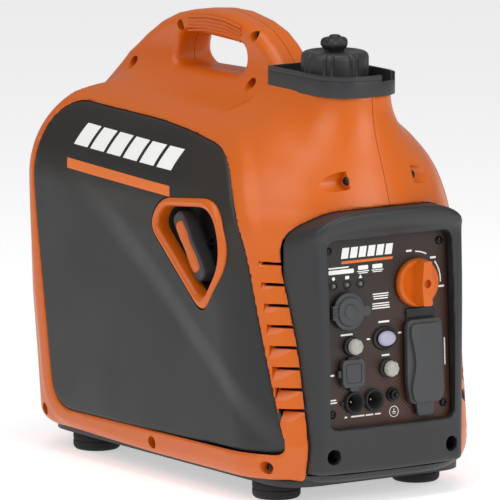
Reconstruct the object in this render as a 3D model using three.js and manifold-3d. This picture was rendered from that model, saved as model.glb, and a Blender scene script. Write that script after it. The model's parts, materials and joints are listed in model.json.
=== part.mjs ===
// Inverter generator: a portable petrol generator in a two-half moulded case.
// Millimetres, +Z up, origin on the floor under the middle of the case.
// The control panel faces -Y, the case is long in Y, and the recoil starter is on the -X side.
import * as THREE from 'three';
import { mergeVertices } from 'three/addons/utils/BufferGeometryUtils.js';
import Module from 'manifold-3d';

const wasm = await Module();
wasm.setup();

// ---- driving dimensions -------------------------------------------------------------------
const CASE_HALF_WIDTH = 134;
const CASE_FRONT = -251.5;
const CASE_REAR = 251.5;
const CASE_BOTTOM = 22;
const SHOULDER_TOP = 376;
const HANDLE_TOP = 455.5;
const HANDLE_HALF_WIDTH = 22;
const PEDESTAL_TOP = 395;
const PEDESTAL_HALF_WIDTH = 41;
const WALL = 3;
const GAP = 0.4;
const FIT = 0.3;
const PANEL_WIDTH = 152;
const PANEL_HEIGHT = 190;
const PANEL_DROP = -2;
const PANEL_CENTRE_Y = -229.3;
const PANEL_CENTRE_Z = 170.8;
const PANEL_LEAN = THREE.MathUtils.degToRad(2.83);
const FILLER_Y = -141;
const NECK_RADIUS = 24.5;
const NECK_WALL = 2.7;
const CAP_BORE = NECK_RADIUS + 4.7;
const CAP_RADIUS = CAP_BORE + 4.3;
const STARTER_Y = -70.5;
const STARTER_Z = 241;
const BEZEL_FACE = CASE_HALF_WIDTH + 1.5;
const BEZEL_BACK = CASE_HALF_WIDTH - 14;
const BUCKET_BACK = BEZEL_BACK - 24;
const GRIP_X = 16 - CASE_HALF_WIDTH;
const GRIP_SIZE = [20, 76, 9];
const INSERT_SIZE = [12.4, 53.4, 5.7];
const FOOT_HEIGHT = 17.7;
const FOOT_RADIUS = 24;
const FOOT_X = 83.5;
const FOOT_Y = 162;
const REEL_RADIUS = 62;
const CRANK_Z = STARTER_Z - REEL_RADIUS;

// ---- colours and finishes -----------------------------------------------------------------
const ORANGE = { color: 0xd9682a, roughness: 0.42, metalness: 0 };
const CHARCOAL = { color: 0x3c3d3f, roughness: 0.55, metalness: 0 };
const SOOT = { color: 0x232425, roughness: 0.6, metalness: 0 };
const RUBBER = { color: 0x2a2b2c, roughness: 0.85, metalness: 0 };
const LENS = { color: 0xc9c8c2, roughness: 0.25, metalness: 0 };
const DECAL = { color: 0x2e211b, roughness: 0.5, metalness: 0 };
const CAST = { color: 0x9a9c9e, roughness: 0.5, metalness: 0.9 };
const STEEL = { color: 0x8d8f92, roughness: 0.35, metalness: 1 };
const COPPER = { color: 0xb0683a, roughness: 0.4, metalness: 0.9 };
const BRASS = { color: 0xc2a25a, roughness: 0.35, metalness: 1 };

// ---- solids -------------------------------------------------------------------------------
function toSolid(geometry) {
  const bare = geometry.clone();
  for (const name of Object.keys(bare.attributes)) {
    if (name !== 'position') bare.deleteAttribute(name);
  }
  const merged = mergeVertices(bare, 1e-4);
  return new wasm.Manifold(new wasm.Mesh({
    numProp: 3,
    vertProperties: new Float32Array(merged.attributes.position.array),
    triVerts: new Uint32Array(merged.index.array),
  }));
}

function toGeometry(solid) {
  const mesh = solid.getMesh();
  const geometry = new THREE.BufferGeometry();
  geometry.setAttribute('position', new THREE.BufferAttribute(new Float32Array(mesh.vertProperties), 3));
  geometry.setIndex(new THREE.BufferAttribute(new Uint32Array(mesh.triVerts), 1));
  return geometry;
}

function union(solids) {
  return solids.reduce((sum, solid) => sum.add(solid));
}

const FRONT_VIEW = new THREE.Matrix4().makeBasis(
  new THREE.Vector3(1, 0, 0), new THREE.Vector3(0, 0, 1), new THREE.Vector3(0, -1, 0));
const SIDE_VIEW = new THREE.Matrix4().makeBasis(
  new THREE.Vector3(0, 1, 0), new THREE.Vector3(0, 0, 1), new THREE.Vector3(1, 0, 0));
const PLAN_VIEW = new THREE.Matrix4();

// A prism of a flat shape; low and high are its ends along the view's own axis:
// -Y for the front view, +X for the side view and +Z for the plan view.
function prism(view, shape, low, high, options = {}) {
  const { bevel = 0, steps = 1, curveSegments = 3 } = options;
  const geometry = new THREE.ExtrudeGeometry(shape, {
    depth: high - low - 2 * bevel,
    bevelEnabled: bevel > 0,
    bevelThickness: bevel,
    bevelSize: bevel,
    bevelOffset: -bevel,
    bevelSegments: steps,
    curveSegments,
  });
  geometry.translate(0, 0, low + bevel);
  geometry.applyMatrix4(view);
  return toSolid(geometry);
}

function block(x0, x1, y0, y1, z0, z1) {
  const geometry = new THREE.BoxGeometry(x1 - x0, y1 - y0, z1 - z0);
  geometry.translate((x0 + x1) / 2, (y0 + y1) / 2, (z0 + z1) / 2);
  return toSolid(geometry);
}

// A turned piece about the local z axis: the profile is a list of [radius, height] pairs.
function turned(profile, sides = 18) {
  const points = profile.map(([radius, height]) => new THREE.Vector2(radius, height));
  if (THREE.ShapeUtils.isClockWise(points)) points.reverse();
  const geometry = new THREE.LatheGeometry(points, sides);
  geometry.rotateX(Math.PI / 2);
  return toSolid(geometry);
}

function disc(radius, low, high, sides = 16) {
  return turned([[0, low], [radius, low], [radius, high], [0, high]], sides);
}

function ring(inner, outer, low, high, sides = 20) {
  return turned([[inner, low], [outer, low], [outer, high], [inner, high], [inner, low]], sides);
}

function along(axis, solid) {
  if (axis === 'x') return solid.rotate([0, 90, 0]);
  if (axis === 'y') return solid.rotate([90, 0, 0]);
  return solid;
}

function roundedRectangle(width, height, radius, cx = 0, cy = 0) {
  const shape = new THREE.Shape();
  const x0 = cx - width / 2;
  const x1 = cx + width / 2;
  const y0 = cy - height / 2;
  const y1 = cy + height / 2;
  shape.moveTo(x0 + radius, y0);
  shape.lineTo(x1 - radius, y0);
  shape.absarc(x1 - radius, y0 + radius, radius, -Math.PI / 2, 0);
  shape.lineTo(x1, y1 - radius);
  shape.absarc(x1 - radius, y1 - radius, radius, 0, Math.PI / 2);
  shape.lineTo(x0 + radius, y1);
  shape.absarc(x0 + radius, y1 - radius, radius, Math.PI / 2, Math.PI);
  shape.lineTo(x0, y0 + radius);
  shape.absarc(x0 + radius, y0 + radius, radius, Math.PI, 1.5 * Math.PI);
  return shape;
}

// A closed outline with every corner rounded: corners are [x, y, radius].
function roundedOutline(corners) {
  const shape = new THREE.Shape();
  const count = corners.length;
  corners.forEach(([x, y, radius], i) => {
    const corner = new THREE.Vector2(x, y);
    const [px, py] = corners[(i + count - 1) % count];
    const [nx, ny] = corners[(i + 1) % count];
    const before = new THREE.Vector2(px, py).sub(corner);
    const after = new THREE.Vector2(nx, ny).sub(corner);
    const fillet = Math.min(radius, 0.49 * before.length(), 0.49 * after.length());
    before.setLength(fillet).add(corner);
    after.setLength(fillet).add(corner);
    if (i === 0) shape.moveTo(before.x, before.y);
    else shape.lineTo(before.x, before.y);
    shape.quadraticCurveTo(x, y, after.x, after.y);
  });
  shape.closePath();
  return shape;
}

// The same outline, each corner moved along its bisector so that every side moves out by d.
function grown(corners, d) {
  const count = corners.length;
  return corners.map(([x, y, radius], i) => {
    const [px, py] = corners[(i + count - 1) % count];
    const [nx, ny] = corners[(i + 1) % count];
    const a = new THREE.Vector2(x - px, y - py).normalize();
    const b = new THREE.Vector2(nx - x, ny - y).normalize();
    const normal = new THREE.Vector2(a.y + b.y, -a.x - b.x).normalize();
    const stretch = d / Math.max(0.4, normal.x * a.y - normal.y * a.x);
    return [x + normal.x * stretch, y + normal.y * stretch, radius];
  });
}

// ---- the case: one rule gives the outer skin and, inset, everything that lies inside it -------
const ramp = (value, from, to) => THREE.MathUtils.clamp((value - from) / (to - from), 0, 1);

// Distance from the edge of a corner of radius r, for two distances already measured inward.
function roundCorner(u, v, r) {
  return Math.hypot(Math.max(u, 0), Math.max(v, 0)) + Math.min(Math.max(u, v), 0) - r;
}

// How far a point lies outside the main body of the case: a long box with wide nose corners
// at the front, tighter ones behind, sloping shoulders and a small radius along the floor.
function caseDistance(x, y, z) {
  const atFront = y < 0;
  const front = CASE_FRONT + 4 * ramp(z, 240, 291) ** 2 + 4 * ramp(z, CASE_BOTTOM + 38, CASE_BOTTOM);
  const rear = CASE_REAR - 9 * ramp(z, 200, 40);
  const corner = atFront ? 92 + 42 * ramp(z, 60, 250) : 58 - 10 * ramp(z, 60, 160);
  const halfWidth = CASE_HALF_WIDTH - 3 * ramp(z, 60, CASE_BOTTOM) ** 2;
  const inY = atFront ? front + corner - y : y - rear + corner;
  const plan = roundCorner(Math.abs(x) - halfWidth + corner, inY, corner);
  const shoulder = 98 + 18 * ramp(y, 0, -170);
  const top = roundCorner(plan + shoulder, z - SHOULDER_TOP + shoulder, shoulder);
  const floorRadius = 10 + 10 * ramp(y, 0, 150);
  const bottom = roundCorner(plan + floorRadius, CASE_BOTTOM - z + floorRadius, floorRadius);
  return Math.max(top, bottom);
}

const CASE_CORE = new THREE.Vector3(40, 150, 70);
const CASE_REACH = new THREE.Vector3(190, 320, 280);
const CASE_MIDDLE = new THREE.Vector3(0, 0, 195);
const SKIN_GRID = [6, 12, 10];

// The body of the case as a box grid whose points are pushed out to the skin, less an inset.
function caseBody(inset) {
  const geometry = new THREE.BoxGeometry(2, 2, 2, ...SKIN_GRID);
  const points = geometry.attributes.position;
  const unit = new THREE.Vector3();
  const inner = new THREE.Vector3();
  const outer = new THREE.Vector3();
  const middle = new THREE.Vector3();
  for (let i = 0; i < points.count; i += 1) {
    unit.fromBufferAttribute(points, i);
    inner.copy(unit).multiply(CASE_CORE).add(CASE_MIDDLE);
    outer.copy(unit).multiply(CASE_REACH).add(CASE_MIDDLE);
    for (let step = 0; step < 30; step += 1) {
      middle.addVectors(inner, outer).multiplyScalar(0.5);
      const outside = caseDistance(middle.x, middle.y, middle.z) + inset > 0;
      (outside ? outer : inner).copy(middle);
    }
    points.setXYZ(i, middle.x, middle.y, middle.z);
  }
  return toSolid(geometry);
}

const skin = caseBody(0);
const insideWall = caseBody(WALL);
const panelLayer = caseBody(GAP).subtract(caseBody(WALL + GAP));

// ---- openings of the case -----------------------------------------------------------------
const FASCIA_OUTLINE = [
  [-90, CASE_BOTTOM + 9.5, 2], [90, CASE_BOTTOM + 9.5, 2], [93, 150, 20], [101, 236, 30],
  [99, 268, 26], [66, 289, 26], [0, 292.5, 30], [-66, 289, 26], [-99, 268, 26],
  [-101, 236, 30], [-93, 150, 20],
];
const SIDE_OUTLINE = [
  [-216, 51, 14], [166, 47, 34], [206, 290, 60], [196, 357, 44], [-10, 354, 60],
  [-122, 338, 62], [-160, 264, 40],
];
const REAR_OUTLINE = [
  [-124, 52, 34], [124, 52, 34], [124, 300, 48], [-124, 300, 48],
];
const BEZEL_OUTLINE = [
  [-106, 177, 18], [-10, 256, 22], [-30, 286, 20], [-128, 296, 26], [-148, 236, 26],
];
const TRAY_OUTLINE = [
  [-43, -207, 41], [43, -207, 41], [43, -83, 7], [-43, -83, 7],
];

// Cutting prisms run from inside the case to outside its skin.
const SIDE_INSIDE = CASE_HALF_WIDTH - 74;
const SIDE_OUTSIDE = CASE_HALF_WIDTH + 16;

function frontCut(d) {
  return prism(FRONT_VIEW, roundedOutline(grown(FASCIA_OUTLINE, d)), 150, 300, { curveSegments: 3 });
}

function sideCut(sign, outline, d, from, to) {
  const shape = roundedOutline(grown(outline, d));
  const [low, high] = sign < 0 ? [-to, -from] : [from, to];
  return prism(SIDE_VIEW, shape, low, high, { curveSegments: 3 });
}

function rearCut(d) {
  return prism(FRONT_VIEW, roundedOutline(grown(REAR_OUTLINE, d)), -300, -150, { curveSegments: 3 });
}

function handle() {
  const arch = new THREE.Shape();
  arch.moveTo(222, 300);
  arch.lineTo(226, 364);
  arch.splineThru([
    [198, 399], [142, 435], [88, 451.5], [40, HANDLE_TOP], [-10, 450], [-52, 432], [-79, 404],
  ].map(([y, z]) => new THREE.Vector2(y, z)));
  arch.lineTo(-90, 300);
  arch.closePath();
  const options = { bevel: 9, curveSegments: 3 };
  return prism(SIDE_VIEW, arch, -HANDLE_HALF_WIDTH, HANDLE_HALF_WIDTH, options);
}

function handleFoot() {
  const foot = roundedOutline([[-106, 300, 20], [214, 300, 20], [214, 372, 30], [150, 396, 30], [-70, 398, 30]]);
  return prism(SIDE_VIEW, foot, -33, 33, { bevel: 8, curveSegments: 3 });
}

function pedestal(inset, low, high) {
  const w = PEDESTAL_HALF_WIDTH - inset;
  const front = -205.5 + inset;
  const rear = -84 - inset;
  const corners = [[-w, front, w - 2], [w, front, w - 2], [w, rear, 5], [-w, rear, 5]];
  return prism(PLAN_VIEW, roundedOutline(corners), low, high, { curveSegments: 5 });
}

const fingerOpening = prism(SIDE_VIEW, roundedOutline([
  [-15, 397, 14], [112, 394, 16], [102, 431, 16], [-15, 427, 14],
]), -60, 60, { curveSegments: 3 });

const BOTTOM_OPENING = roundedRectangle(220, 440, 40);

function caseScrewWells(sign) {
  const places = [
    [-217, 317, 64, 42], [-29, 437, 24, 12], [101, 435, 24, 12], [176, 389, 24, 12], [-38, 391, 36, 18],
    [188, 41, 134, 118], [-14, 37, 134, 118], [-197, 38, 134, 116],
  ];
  const well = ([y, z, outer, bottom]) => {
    const reach = outer + 6 - bottom;
    const cutter = along('x', disc(6.5, 0, reach, 10));
    return cutter.translate([sign > 0 ? bottom : -outer - 6, y, z]);
  };
  return union(places.map(well));
}

function cornerLouvres(sign) {
  const slots = [];
  for (let i = 0; i < 8; i += 1) {
    const z = 233 - i * 20.3;
    const x = 111 - i * 1.4;
    const y = -196 - i * 3.4;
    const slot = block(-17, 17, -22, 22, -5.2, 5.2).rotate([0, 0, sign * 58]);
    slots.push(slot.translate([sign * x, y, z]));
  }
  return union(slots);
}

const wholeCase = skin
  .add(handle())
  .add(handleFoot())
  .add(pedestal(0, 320, PEDESTAL_TOP))
  .subtract(insideWall)
  .subtract(pedestal(WALL, 300, 420))
  .subtract(fingerOpening)
  .subtract(frontCut(0))
  .subtract(rearCut(0))
  .subtract(sideCut(-1, SIDE_OUTLINE, 0, SIDE_INSIDE, SIDE_OUTSIDE))
  .subtract(sideCut(1, SIDE_OUTLINE, 0, SIDE_INSIDE, SIDE_OUTSIDE))
  .subtract(prism(PLAN_VIEW, BOTTOM_OPENING, 10, 30))
  .subtract(prism(PLAN_VIEW, roundedRectangle(180 + 2 * GAP, 90, 2, 0, -220), 10, CASE_BOTTOM + 9.5));

function caseHalf(sign) {
  const keep = sign < 0 ? block(-200, -GAP / 2, -300, 300, 0, 500) : block(GAP / 2, 200, -300, 300, 0, 500);
  return wholeCase.intersect(keep).subtract(caseScrewWells(sign)).subtract(cornerLouvres(sign));
}

// ---- pieces -------------------------------------------------------------------------------
const generator = new THREE.Group();
generator.name = 'inverter_generator';
const panelGroup = new THREE.Group();
panelGroup.position.set(0, PANEL_CENTRE_Y, PANEL_CENTRE_Z);
panelGroup.rotation.x = Math.PI / 2 - PANEL_LEAN;
generator.add(panelGroup);

function addPiece(name, solid, finish, parent = generator) {
  const mesh = new THREE.Mesh(toGeometry(solid), new THREE.MeshStandardMaterial(finish));
  mesh.name = name;
  parent.add(mesh);
  return mesh;
}

const onPanel = (name, solid, finish) => addPiece(name, solid, finish, panelGroup);

// The same place on the panel, as a matrix in the generator's own frame.
const panelMatrix = new THREE.Matrix4()
  .makeTranslation(0, PANEL_CENTRE_Y, PANEL_CENTRE_Z)
  .multiply(new THREE.Matrix4().makeRotationX(Math.PI / 2 - PANEL_LEAN));

function panelPrism(shape, low, high) {
  return prism(panelMatrix, shape, low, high, { curveSegments: 3 });
}

// Shell halves, screwed together along the middle.
addPiece('left_shell', caseHalf(-1), ORANGE);
addPiece('right_shell', caseHalf(1), ORANGE);

// Front fascia: a leaning frame with a window for the control panel.
const FASCIA_WALL = 3.5;
const WINDOW = [PANEL_WIDTH - 4, PANEL_HEIGHT - 4, 9, 0, PANEL_DROP];

function fasciaBlock(inset) {
  const side = new THREE.Shape([
    [-190, CASE_BOTTOM - 20], [-248 + inset, CASE_BOTTOM - 20], [-251 + inset, 70], [-236 + inset, 262 + inset],
    [-245 + inset, 281], [-247 + inset, 288 - inset], [-236 + inset, 330], [-190, 330],
  ].map(([y, z]) => new THREE.Vector2(y, z)));
  const halfSpan = 86 - inset;
  const plan = new THREE.Shape();
  plan.moveTo(-104 + inset, -150);
  plan.lineTo(-104 + inset, -196);
  plan.lineTo(-halfSpan, -241 + inset);
  plan.quadraticCurveTo(0, -262 + inset, halfSpan, -241 + inset);
  plan.lineTo(104 - inset, -196);
  plan.lineTo(104 - inset, -150);
  const front = roundedOutline(grown(FASCIA_OUTLINE, -GAP - inset));
  return prism(SIDE_VIEW, side, -120, 120)
    .intersect(prism(PLAN_VIEW, plan, 0, 340, { curveSegments: 6 }))
    .intersect(prism(FRONT_VIEW, front, 196 - inset * 2, 270, { curveSegments: 3 }));
}

const fasciaOuter = fasciaBlock(0);
const pocketWall = panelPrism(roundedRectangle(WINDOW[0] + 6, WINDOW[1] + 6, 12, 0, PANEL_DROP), GAP, 60);
const fasciaScrewHoles = [-70, 70].map((x) => along('y', disc(7.3, 200, 300, 14)).translate([x, 0, 50]));
addPiece('front_fascia', fasciaOuter
  .subtract(fasciaBlock(FASCIA_WALL))
  .add(pocketWall.intersect(fasciaOuter))
  .subtract(panelPrism(roundedRectangle(...WINDOW), -40, 80))
  .subtract(union(fasciaScrewHoles)), CHARCOAL);

// Base pan with the lip that closes the case under the fascia.
const lipLayer = skin.subtract(insideWall)
  .intersect(prism(FRONT_VIEW, roundedRectangle(180, 2 * (9 - GAP), 2, 0, CASE_BOTTOM), 180, 300));
const PAN_TOP = 24.4;
addPiece('base_pan', prism(PLAN_VIEW, roundedRectangle(220 - 2 * GAP, 440 - 2 * GAP, 40), FOOT_HEIGHT + GAP, PAN_TOP)
  .add(lipLayer), CHARCOAL);

// Side covers, set flush in the shells.
const bezelHole = (d) => sideCut(-1, BEZEL_OUTLINE, d, SIDE_INSIDE, SIDE_OUTSIDE);
addPiece('left_side_cover', panelLayer.intersect(sideCut(-1, SIDE_OUTLINE, -GAP, SIDE_INSIDE, SIDE_OUTSIDE))
  .subtract(bezelHole(GAP)), CHARCOAL);
addPiece('right_side_cover', panelLayer.intersect(sideCut(1, SIDE_OUTLINE, -GAP, SIDE_INSIDE, SIDE_OUTSIDE)), CHARCOAL);

// Rear cover with its outlet grille.
function rearSlots() {
  const slots = [];
  for (let i = 0; i < 7; i += 1) slots.push(block(-88, 20, 200, 300, 84 + i * 18, 91 + i * 18));
  return union(slots);
}
const EXHAUST_X = 66;
const EXHAUST_Z = 182;
addPiece('rear_cover', panelLayer.intersect(rearCut(-GAP))
  .subtract(rearSlots())
  .subtract(along('y', disc(27, -300, -150)).translate([EXHAUST_X, 0, EXHAUST_Z])), SOOT);

// Recoil starter: bezel, bucket, grip, rope, reel and housing.
const BEZEL_RIM = 9;
const bezelRing = (d, from, to) => sideCut(-1, BEZEL_OUTLINE, d, from, to);
addPiece('starter_bezel', bezelRing(0, BEZEL_BACK, BEZEL_FACE)
  .subtract(bezelRing(-BEZEL_RIM, SIDE_INSIDE, SIDE_OUTSIDE)), ORANGE);
addPiece('starter_bucket', bezelRing(-BEZEL_RIM / 2, BUCKET_BACK, BEZEL_BACK - GAP)
  .subtract(bezelRing(-BEZEL_RIM, BUCKET_BACK + WALL, SIDE_OUTSIDE))
  .subtract(along('x', disc(5, -SIDE_OUTSIDE, -SIDE_INSIDE, 16)).translate([0, STARTER_Y, STARTER_Z])), SOOT);

const GRIP_TILT = -36.7;
const tilted = (solid) => solid.rotate([GRIP_TILT, 0, 0]).translate([GRIP_X, STARTER_Y, STARTER_Z]);
const gripShape = roundedRectangle(...GRIP_SIZE);
const pocketShape = roundedRectangle(...INSERT_SIZE.map((size) => size + 2 * FIT));
const insertPocket = prism(SIDE_VIEW, pocketShape, -9.6, -4);
addPiece('starter_grip', tilted(prism(SIDE_VIEW, gripShape, -9, 9, { bevel: 4 })
  .subtract(insertPocket)
  .subtract(along('x', disc(2.6, -1, 12, 12)))), RUBBER);
addPiece('starter_grip_insert', tilted(prism(SIDE_VIEW, roundedRectangle(...INSERT_SIZE), -10.4, -4 - FIT)), ORANGE);
addPiece('starter_rope', along('x', disc(2, GRIP_X + 0.2, -4, 10)).translate([0, STARTER_Y, STARTER_Z]), RUBBER);

const onCrank = (solid) => along('y', solid).translate([0, 0, CRANK_Z]);
addPiece('recoil_reel', onCrank(turned([
  [8, 63.5], [66, 63.5], [66, 66], [REEL_RADIUS - 3, 67.5], [REEL_RADIUS - 3, 73.5], [66, 75], [66, 77.5], [8, 77.5],
  [8, 63.5],
], 28)), CHARCOAL);
const ropeSlot = block(-100, 0, STARTER_Y - 5, STARTER_Y + 5, STARTER_Z - 5, STARTER_Z + 5);
addPiece('recoil_housing', onCrank(ring(72, 75, 60, 86, 28)
  .add(disc(75, 86, 89, 28))
  .add(disc(7.5, 62, 87, 20))).subtract(ropeSlot), SOOT);

// Engine, alternator and fan on one crankshaft along Y; the cylinder is cast with the crankcase.
const SUMP_BOTTOM = 60;
const SHAFT_RADIUS = 10;
addPiece('crankshaft', onCrank(disc(SHAFT_RADIUS, -78, 57, 20)), STEEL);
const blade = (i) => block(24, 68, -1.5, 1.5, 38, 54).rotate([0, 0, i * 40]);
addPiece('cooling_fan', onCrank(ring(SHAFT_RADIUS + 0.3, 70, 35.5, 38.5, 28)
  .add(ring(SHAFT_RADIUS + 0.3, 26, 36, 55, 20))
  .add(union(Array.from({ length: 9 }, (_, i) => blade(i))))), CHARCOAL);
addPiece('magnet_rotor', onCrank(turned([
  [SHAFT_RADIUS + 0.3, 30], [64, 30], [64, 4], [57, 4], [57, 26], [SHAFT_RADIUS + 0.3, 26], [SHAFT_RADIUS + 0.3, 30],
], 28)), CAST);
addPiece('stator', onCrank(ring(24, 54, 6, 22, 28)), COPPER);
addPiece('crankcase', block(-54, 54, -2, 88, SUMP_BOTTOM, 236)
  .add(block(50, 96, 14, 74, 150, 214))
  .subtract(onCrank(disc(SHAFT_RADIUS + 0.3, -84, 10, 20))), CAST);
function headFins() {
  const fins = [];
  for (let i = 0; i < 6; i += 1) fins.push(block(100, 122, 8, 80, 146 + i * 12, 149 + i * 12));
  return union(fins);
}
addPiece('cylinder_head', block(96.4, 102, 10, 78, 146, 209).add(headFins()), CAST);
addPiece('spark_plug', turned([
  [0, 209.4], [6, 209.4], [6, 222], [4.5, 224], [4.5, 240], [3, 244], [0, 244],
], 14).translate([111, 44, 0]), CAST);
addPiece('ignition_coil', block(-16, 16, -24, -8, 246, 266), SOOT);
addPiece('oil_filler_cap', along('x', disc(12, 54.4, 66, 16)).translate([0, 8, 104]), SOOT);
addPiece('carburettor', block(-98, -54.4, 26, 62, 160, 206)
  .subtract(along('x', disc(9, -99, -80, 16)).translate([0, 44, 183])), CAST);
addPiece('air_filter_box', prism(PLAN_VIEW, roundedRectangle(24, 100, 5, -111, 44), 128, 238), SOOT);
addPiece('muffler', prism(PLAN_VIEW, roundedRectangle(116, 112, 24, 0, 152), 124, 236), STEEL);
addPiece('exhaust_outlet', along('y', turned([
  [14, -208.4], [24, -208.4], [24, -247], [26, -249], [21, -249], [19, -212], [14, -212], [14, -208.4],
], 18)).translate([EXHAUST_X, 0, EXHAUST_Z]), STEEL);
for (const [name, y] of [['engine_mount_front', 12], ['engine_mount_rear', 74]]) {
  const pad = prism(PLAN_VIEW, roundedRectangle(92, 24, 8, 0, y), PAN_TOP + GAP, SUMP_BOTTOM - GAP);
  addPiece(name, pad, RUBBER);
}
function inverterFins() {
  const fins = [];
  for (let i = 0; i < 8; i += 1) fins.push(block(-63 + i * 18, -60 + i * 18, -128, -112, 40, 118));
  return union(fins);
}
addPiece('inverter_module', block(-66, 66, -188, -127, 36, 122).add(inverterFins()), SOOT);

// Fuel: tank, tray, cap and its vent knob.
const CAP_BASE = 403;
addPiece('fuel_tank', prism(PLAN_VIEW, roundedRectangle(136, 262, 30, 0, -44), 290, 348, { bevel: 10 })
  .add(disc(NECK_RADIUS, 340, CAP_BASE + 15, 20).translate([0, FILLER_Y, 0]))
  .subtract(prism(PLAN_VIEW, roundedRectangle(130, 256, 27, 0, -44), 293, 345, { bevel: 10 }))
  .subtract(disc(NECK_RADIUS - NECK_WALL, 330, CAP_BASE + 16, 20).translate([0, FILLER_Y, 0])), SOOT);
const TRAY_FLOOR = PEDESTAL_TOP + GAP;
const TRAY_WALL = 3.5;
addPiece('fuel_tray', prism(PLAN_VIEW, roundedOutline(TRAY_OUTLINE), TRAY_FLOOR, 416, { curveSegments: 6 })
  .subtract(prism(PLAN_VIEW, roundedOutline(grown(TRAY_OUTLINE, -TRAY_WALL)), TRAY_FLOOR + 3, 420, { curveSegments: 6 }))
  .subtract(disc(NECK_RADIUS + 2 * FIT, 380, 420, 20).translate([0, FILLER_Y, 0]))
  .subtract(block(12, 36, -220, -180, 408, 420)), CHARCOAL);

const capOutline = new THREE.Shape();
const CAP_FLUTES = 16;
for (let i = 0; i < CAP_FLUTES * 4; i += 1) {
  const angle = (i / (CAP_FLUTES * 4)) * 2 * Math.PI;
  const radius = i % 4 === 0 ? CAP_RADIUS - 2.2 : CAP_RADIUS;
  if (i === 0) capOutline.moveTo(radius, 0);
  else capOutline.lineTo(radius * Math.cos(angle), radius * Math.sin(angle));
}
capOutline.closePath();
addPiece('fuel_cap', prism(PLAN_VIEW, capOutline, CAP_BASE, 434)
  .subtract(disc(CAP_BORE, CAP_BASE - 1, 430, 20))
  .translate([0, FILLER_Y, 0]), CHARCOAL);
addPiece('cap_gasket', ring(20, CAP_BORE - 1.2, CAP_BASE + 15 + GAP, 420.5, 20).translate([0, FILLER_Y, 0]), RUBBER);
const knobOutline = new THREE.Shape();
for (let i = 0; i < 30; i += 1) {
  const angle = (i / 30) * 2 * Math.PI;
  const radius = 13.2 + 1.3 * Math.cos(5 * angle);
  if (i === 0) knobOutline.moveTo(radius, 0);
  else knobOutline.lineTo(radius * Math.cos(angle), radius * Math.sin(angle));
}
knobOutline.closePath();
addPiece('cap_vent_knob', prism(PLAN_VIEW, knobOutline, 434 + GAP, 450, { bevel: 2 })
  .translate([0, FILLER_Y, 0]), CHARCOAL);

// Feet under the pan.
for (const [name, x, y] of [
  ['foot_front_left', -1, -1], ['foot_front_right', 1, -1], ['foot_rear_left', -1, 1], ['foot_rear_right', 1, 1],
]) {
  addPiece(name, turned([[0, 0], [FOOT_RADIUS - 3, 0], [FOOT_RADIUS, 5], [FOOT_RADIUS, FOOT_HEIGHT], [0, FOOT_HEIGHT]], 20)
    .translate([x * FOOT_X, y * FOOT_Y, 0]), RUBBER);
}

// ---- control panel: places are [across, up] from its middle, heights are outward -----------
const DIAL = [36.5, 41.5];
const DC_SOCKET = [-46.5, 20];
const DC_BREAKER = [-42, -15.5];
const AC_BREAKER = [0, -41];
const ECONOMY = [-2, -11];
const USB = [-44, -41.5];
const PARALLEL = [[-41, -71], [-17.5, -70.5]];
const GROUND = [5.5, -67];
const OUTLET = [40.5, -33];
const LEDS = { oil_lamp: [-60.4, 45.6], overload_lamp: [-44.2, 45.5], output_lamp: [-28.4, 45.4] };
const SCREWS = [[-66, 80], [66, 80], [-66, -80.5], [66, -80.5]];
// Round pieces pass through holes a gap larger; square ones have a clearance of their own.
const SPINDLE_RADIUS = 4.3;
const SOCKET_RADIUS = 13.6;
const BREAKER_RADIUS = 6;
const GROUND_RADIUS = 3.2;
const PARALLEL_RADIUS = 9;
const LED_RADIUS = 2.8;
const USB_BODY = [20, 22];
const ECONOMY_BODY = [21, 15];
const OUTLET_BODY = [34, 70];
const at = ([u, v], solid) => solid.translate([u, v, 0]);
const HOLE_SIDES = 10;
// The radius of a hole is that of the round piece which passes through it.
const hole = (place, radius) => at(place, disc(radius / Math.cos(Math.PI / HOLE_SIDES), -20, 20, HOLE_SIDES));

const cutout = (place, [width, height], clearance, radius) => (
  at(place, prism(PLAN_VIEW, roundedRectangle(width + clearance, height + clearance, radius), -10, 10))
);

const plate = prism(PLAN_VIEW, roundedRectangle(PANEL_WIDTH, PANEL_HEIGHT, 10, 0, PANEL_DROP), -3, 0);
onPanel('control_panel', plate.subtract(union([
  hole(DIAL, SPINDLE_RADIUS + GAP), hole(DC_SOCKET, SOCKET_RADIUS + GAP), hole(GROUND, GROUND_RADIUS + GAP),
  ...[DC_BREAKER, AC_BREAKER].map((place) => hole(place, BREAKER_RADIUS + GAP)),
  ...PARALLEL.map((place) => hole(place, PARALLEL_RADIUS + GAP)),
  ...Object.values(LEDS).map((place) => hole(place, LED_RADIUS + GAP)),
  ...SCREWS.map((place) => hole(place, 2.5)),
  cutout(USB, USB_BODY, 1, 3),
  cutout(ECONOMY, ECONOMY_BODY, 1, 5),
  cutout(OUTLET, OUTLET_BODY, 2, 1),
])), DECAL);

const DIAL_HEIGHT = 22;
onPanel('engine_dial', at(DIAL, turned([[0, 0.6], [24, 0.6], [24, 3], [21.5, 8.5], [0, 8.5]], 28)
  .add(prism(PLAN_VIEW, roundedRectangle(13, 44, 6), 8, DIAL_HEIGHT, { curveSegments: 3 }))
  .subtract(disc(SPINDLE_RADIUS + FIT, 0, 15, 16))
  .subtract(disc(SPINDLE_RADIUS + 0.2, 17, 30, 14))), ORANGE);
onPanel('dial_spindle', at(DIAL, disc(SPINDLE_RADIUS, -16, 15 - GAP, 16)), STEEL);

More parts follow.
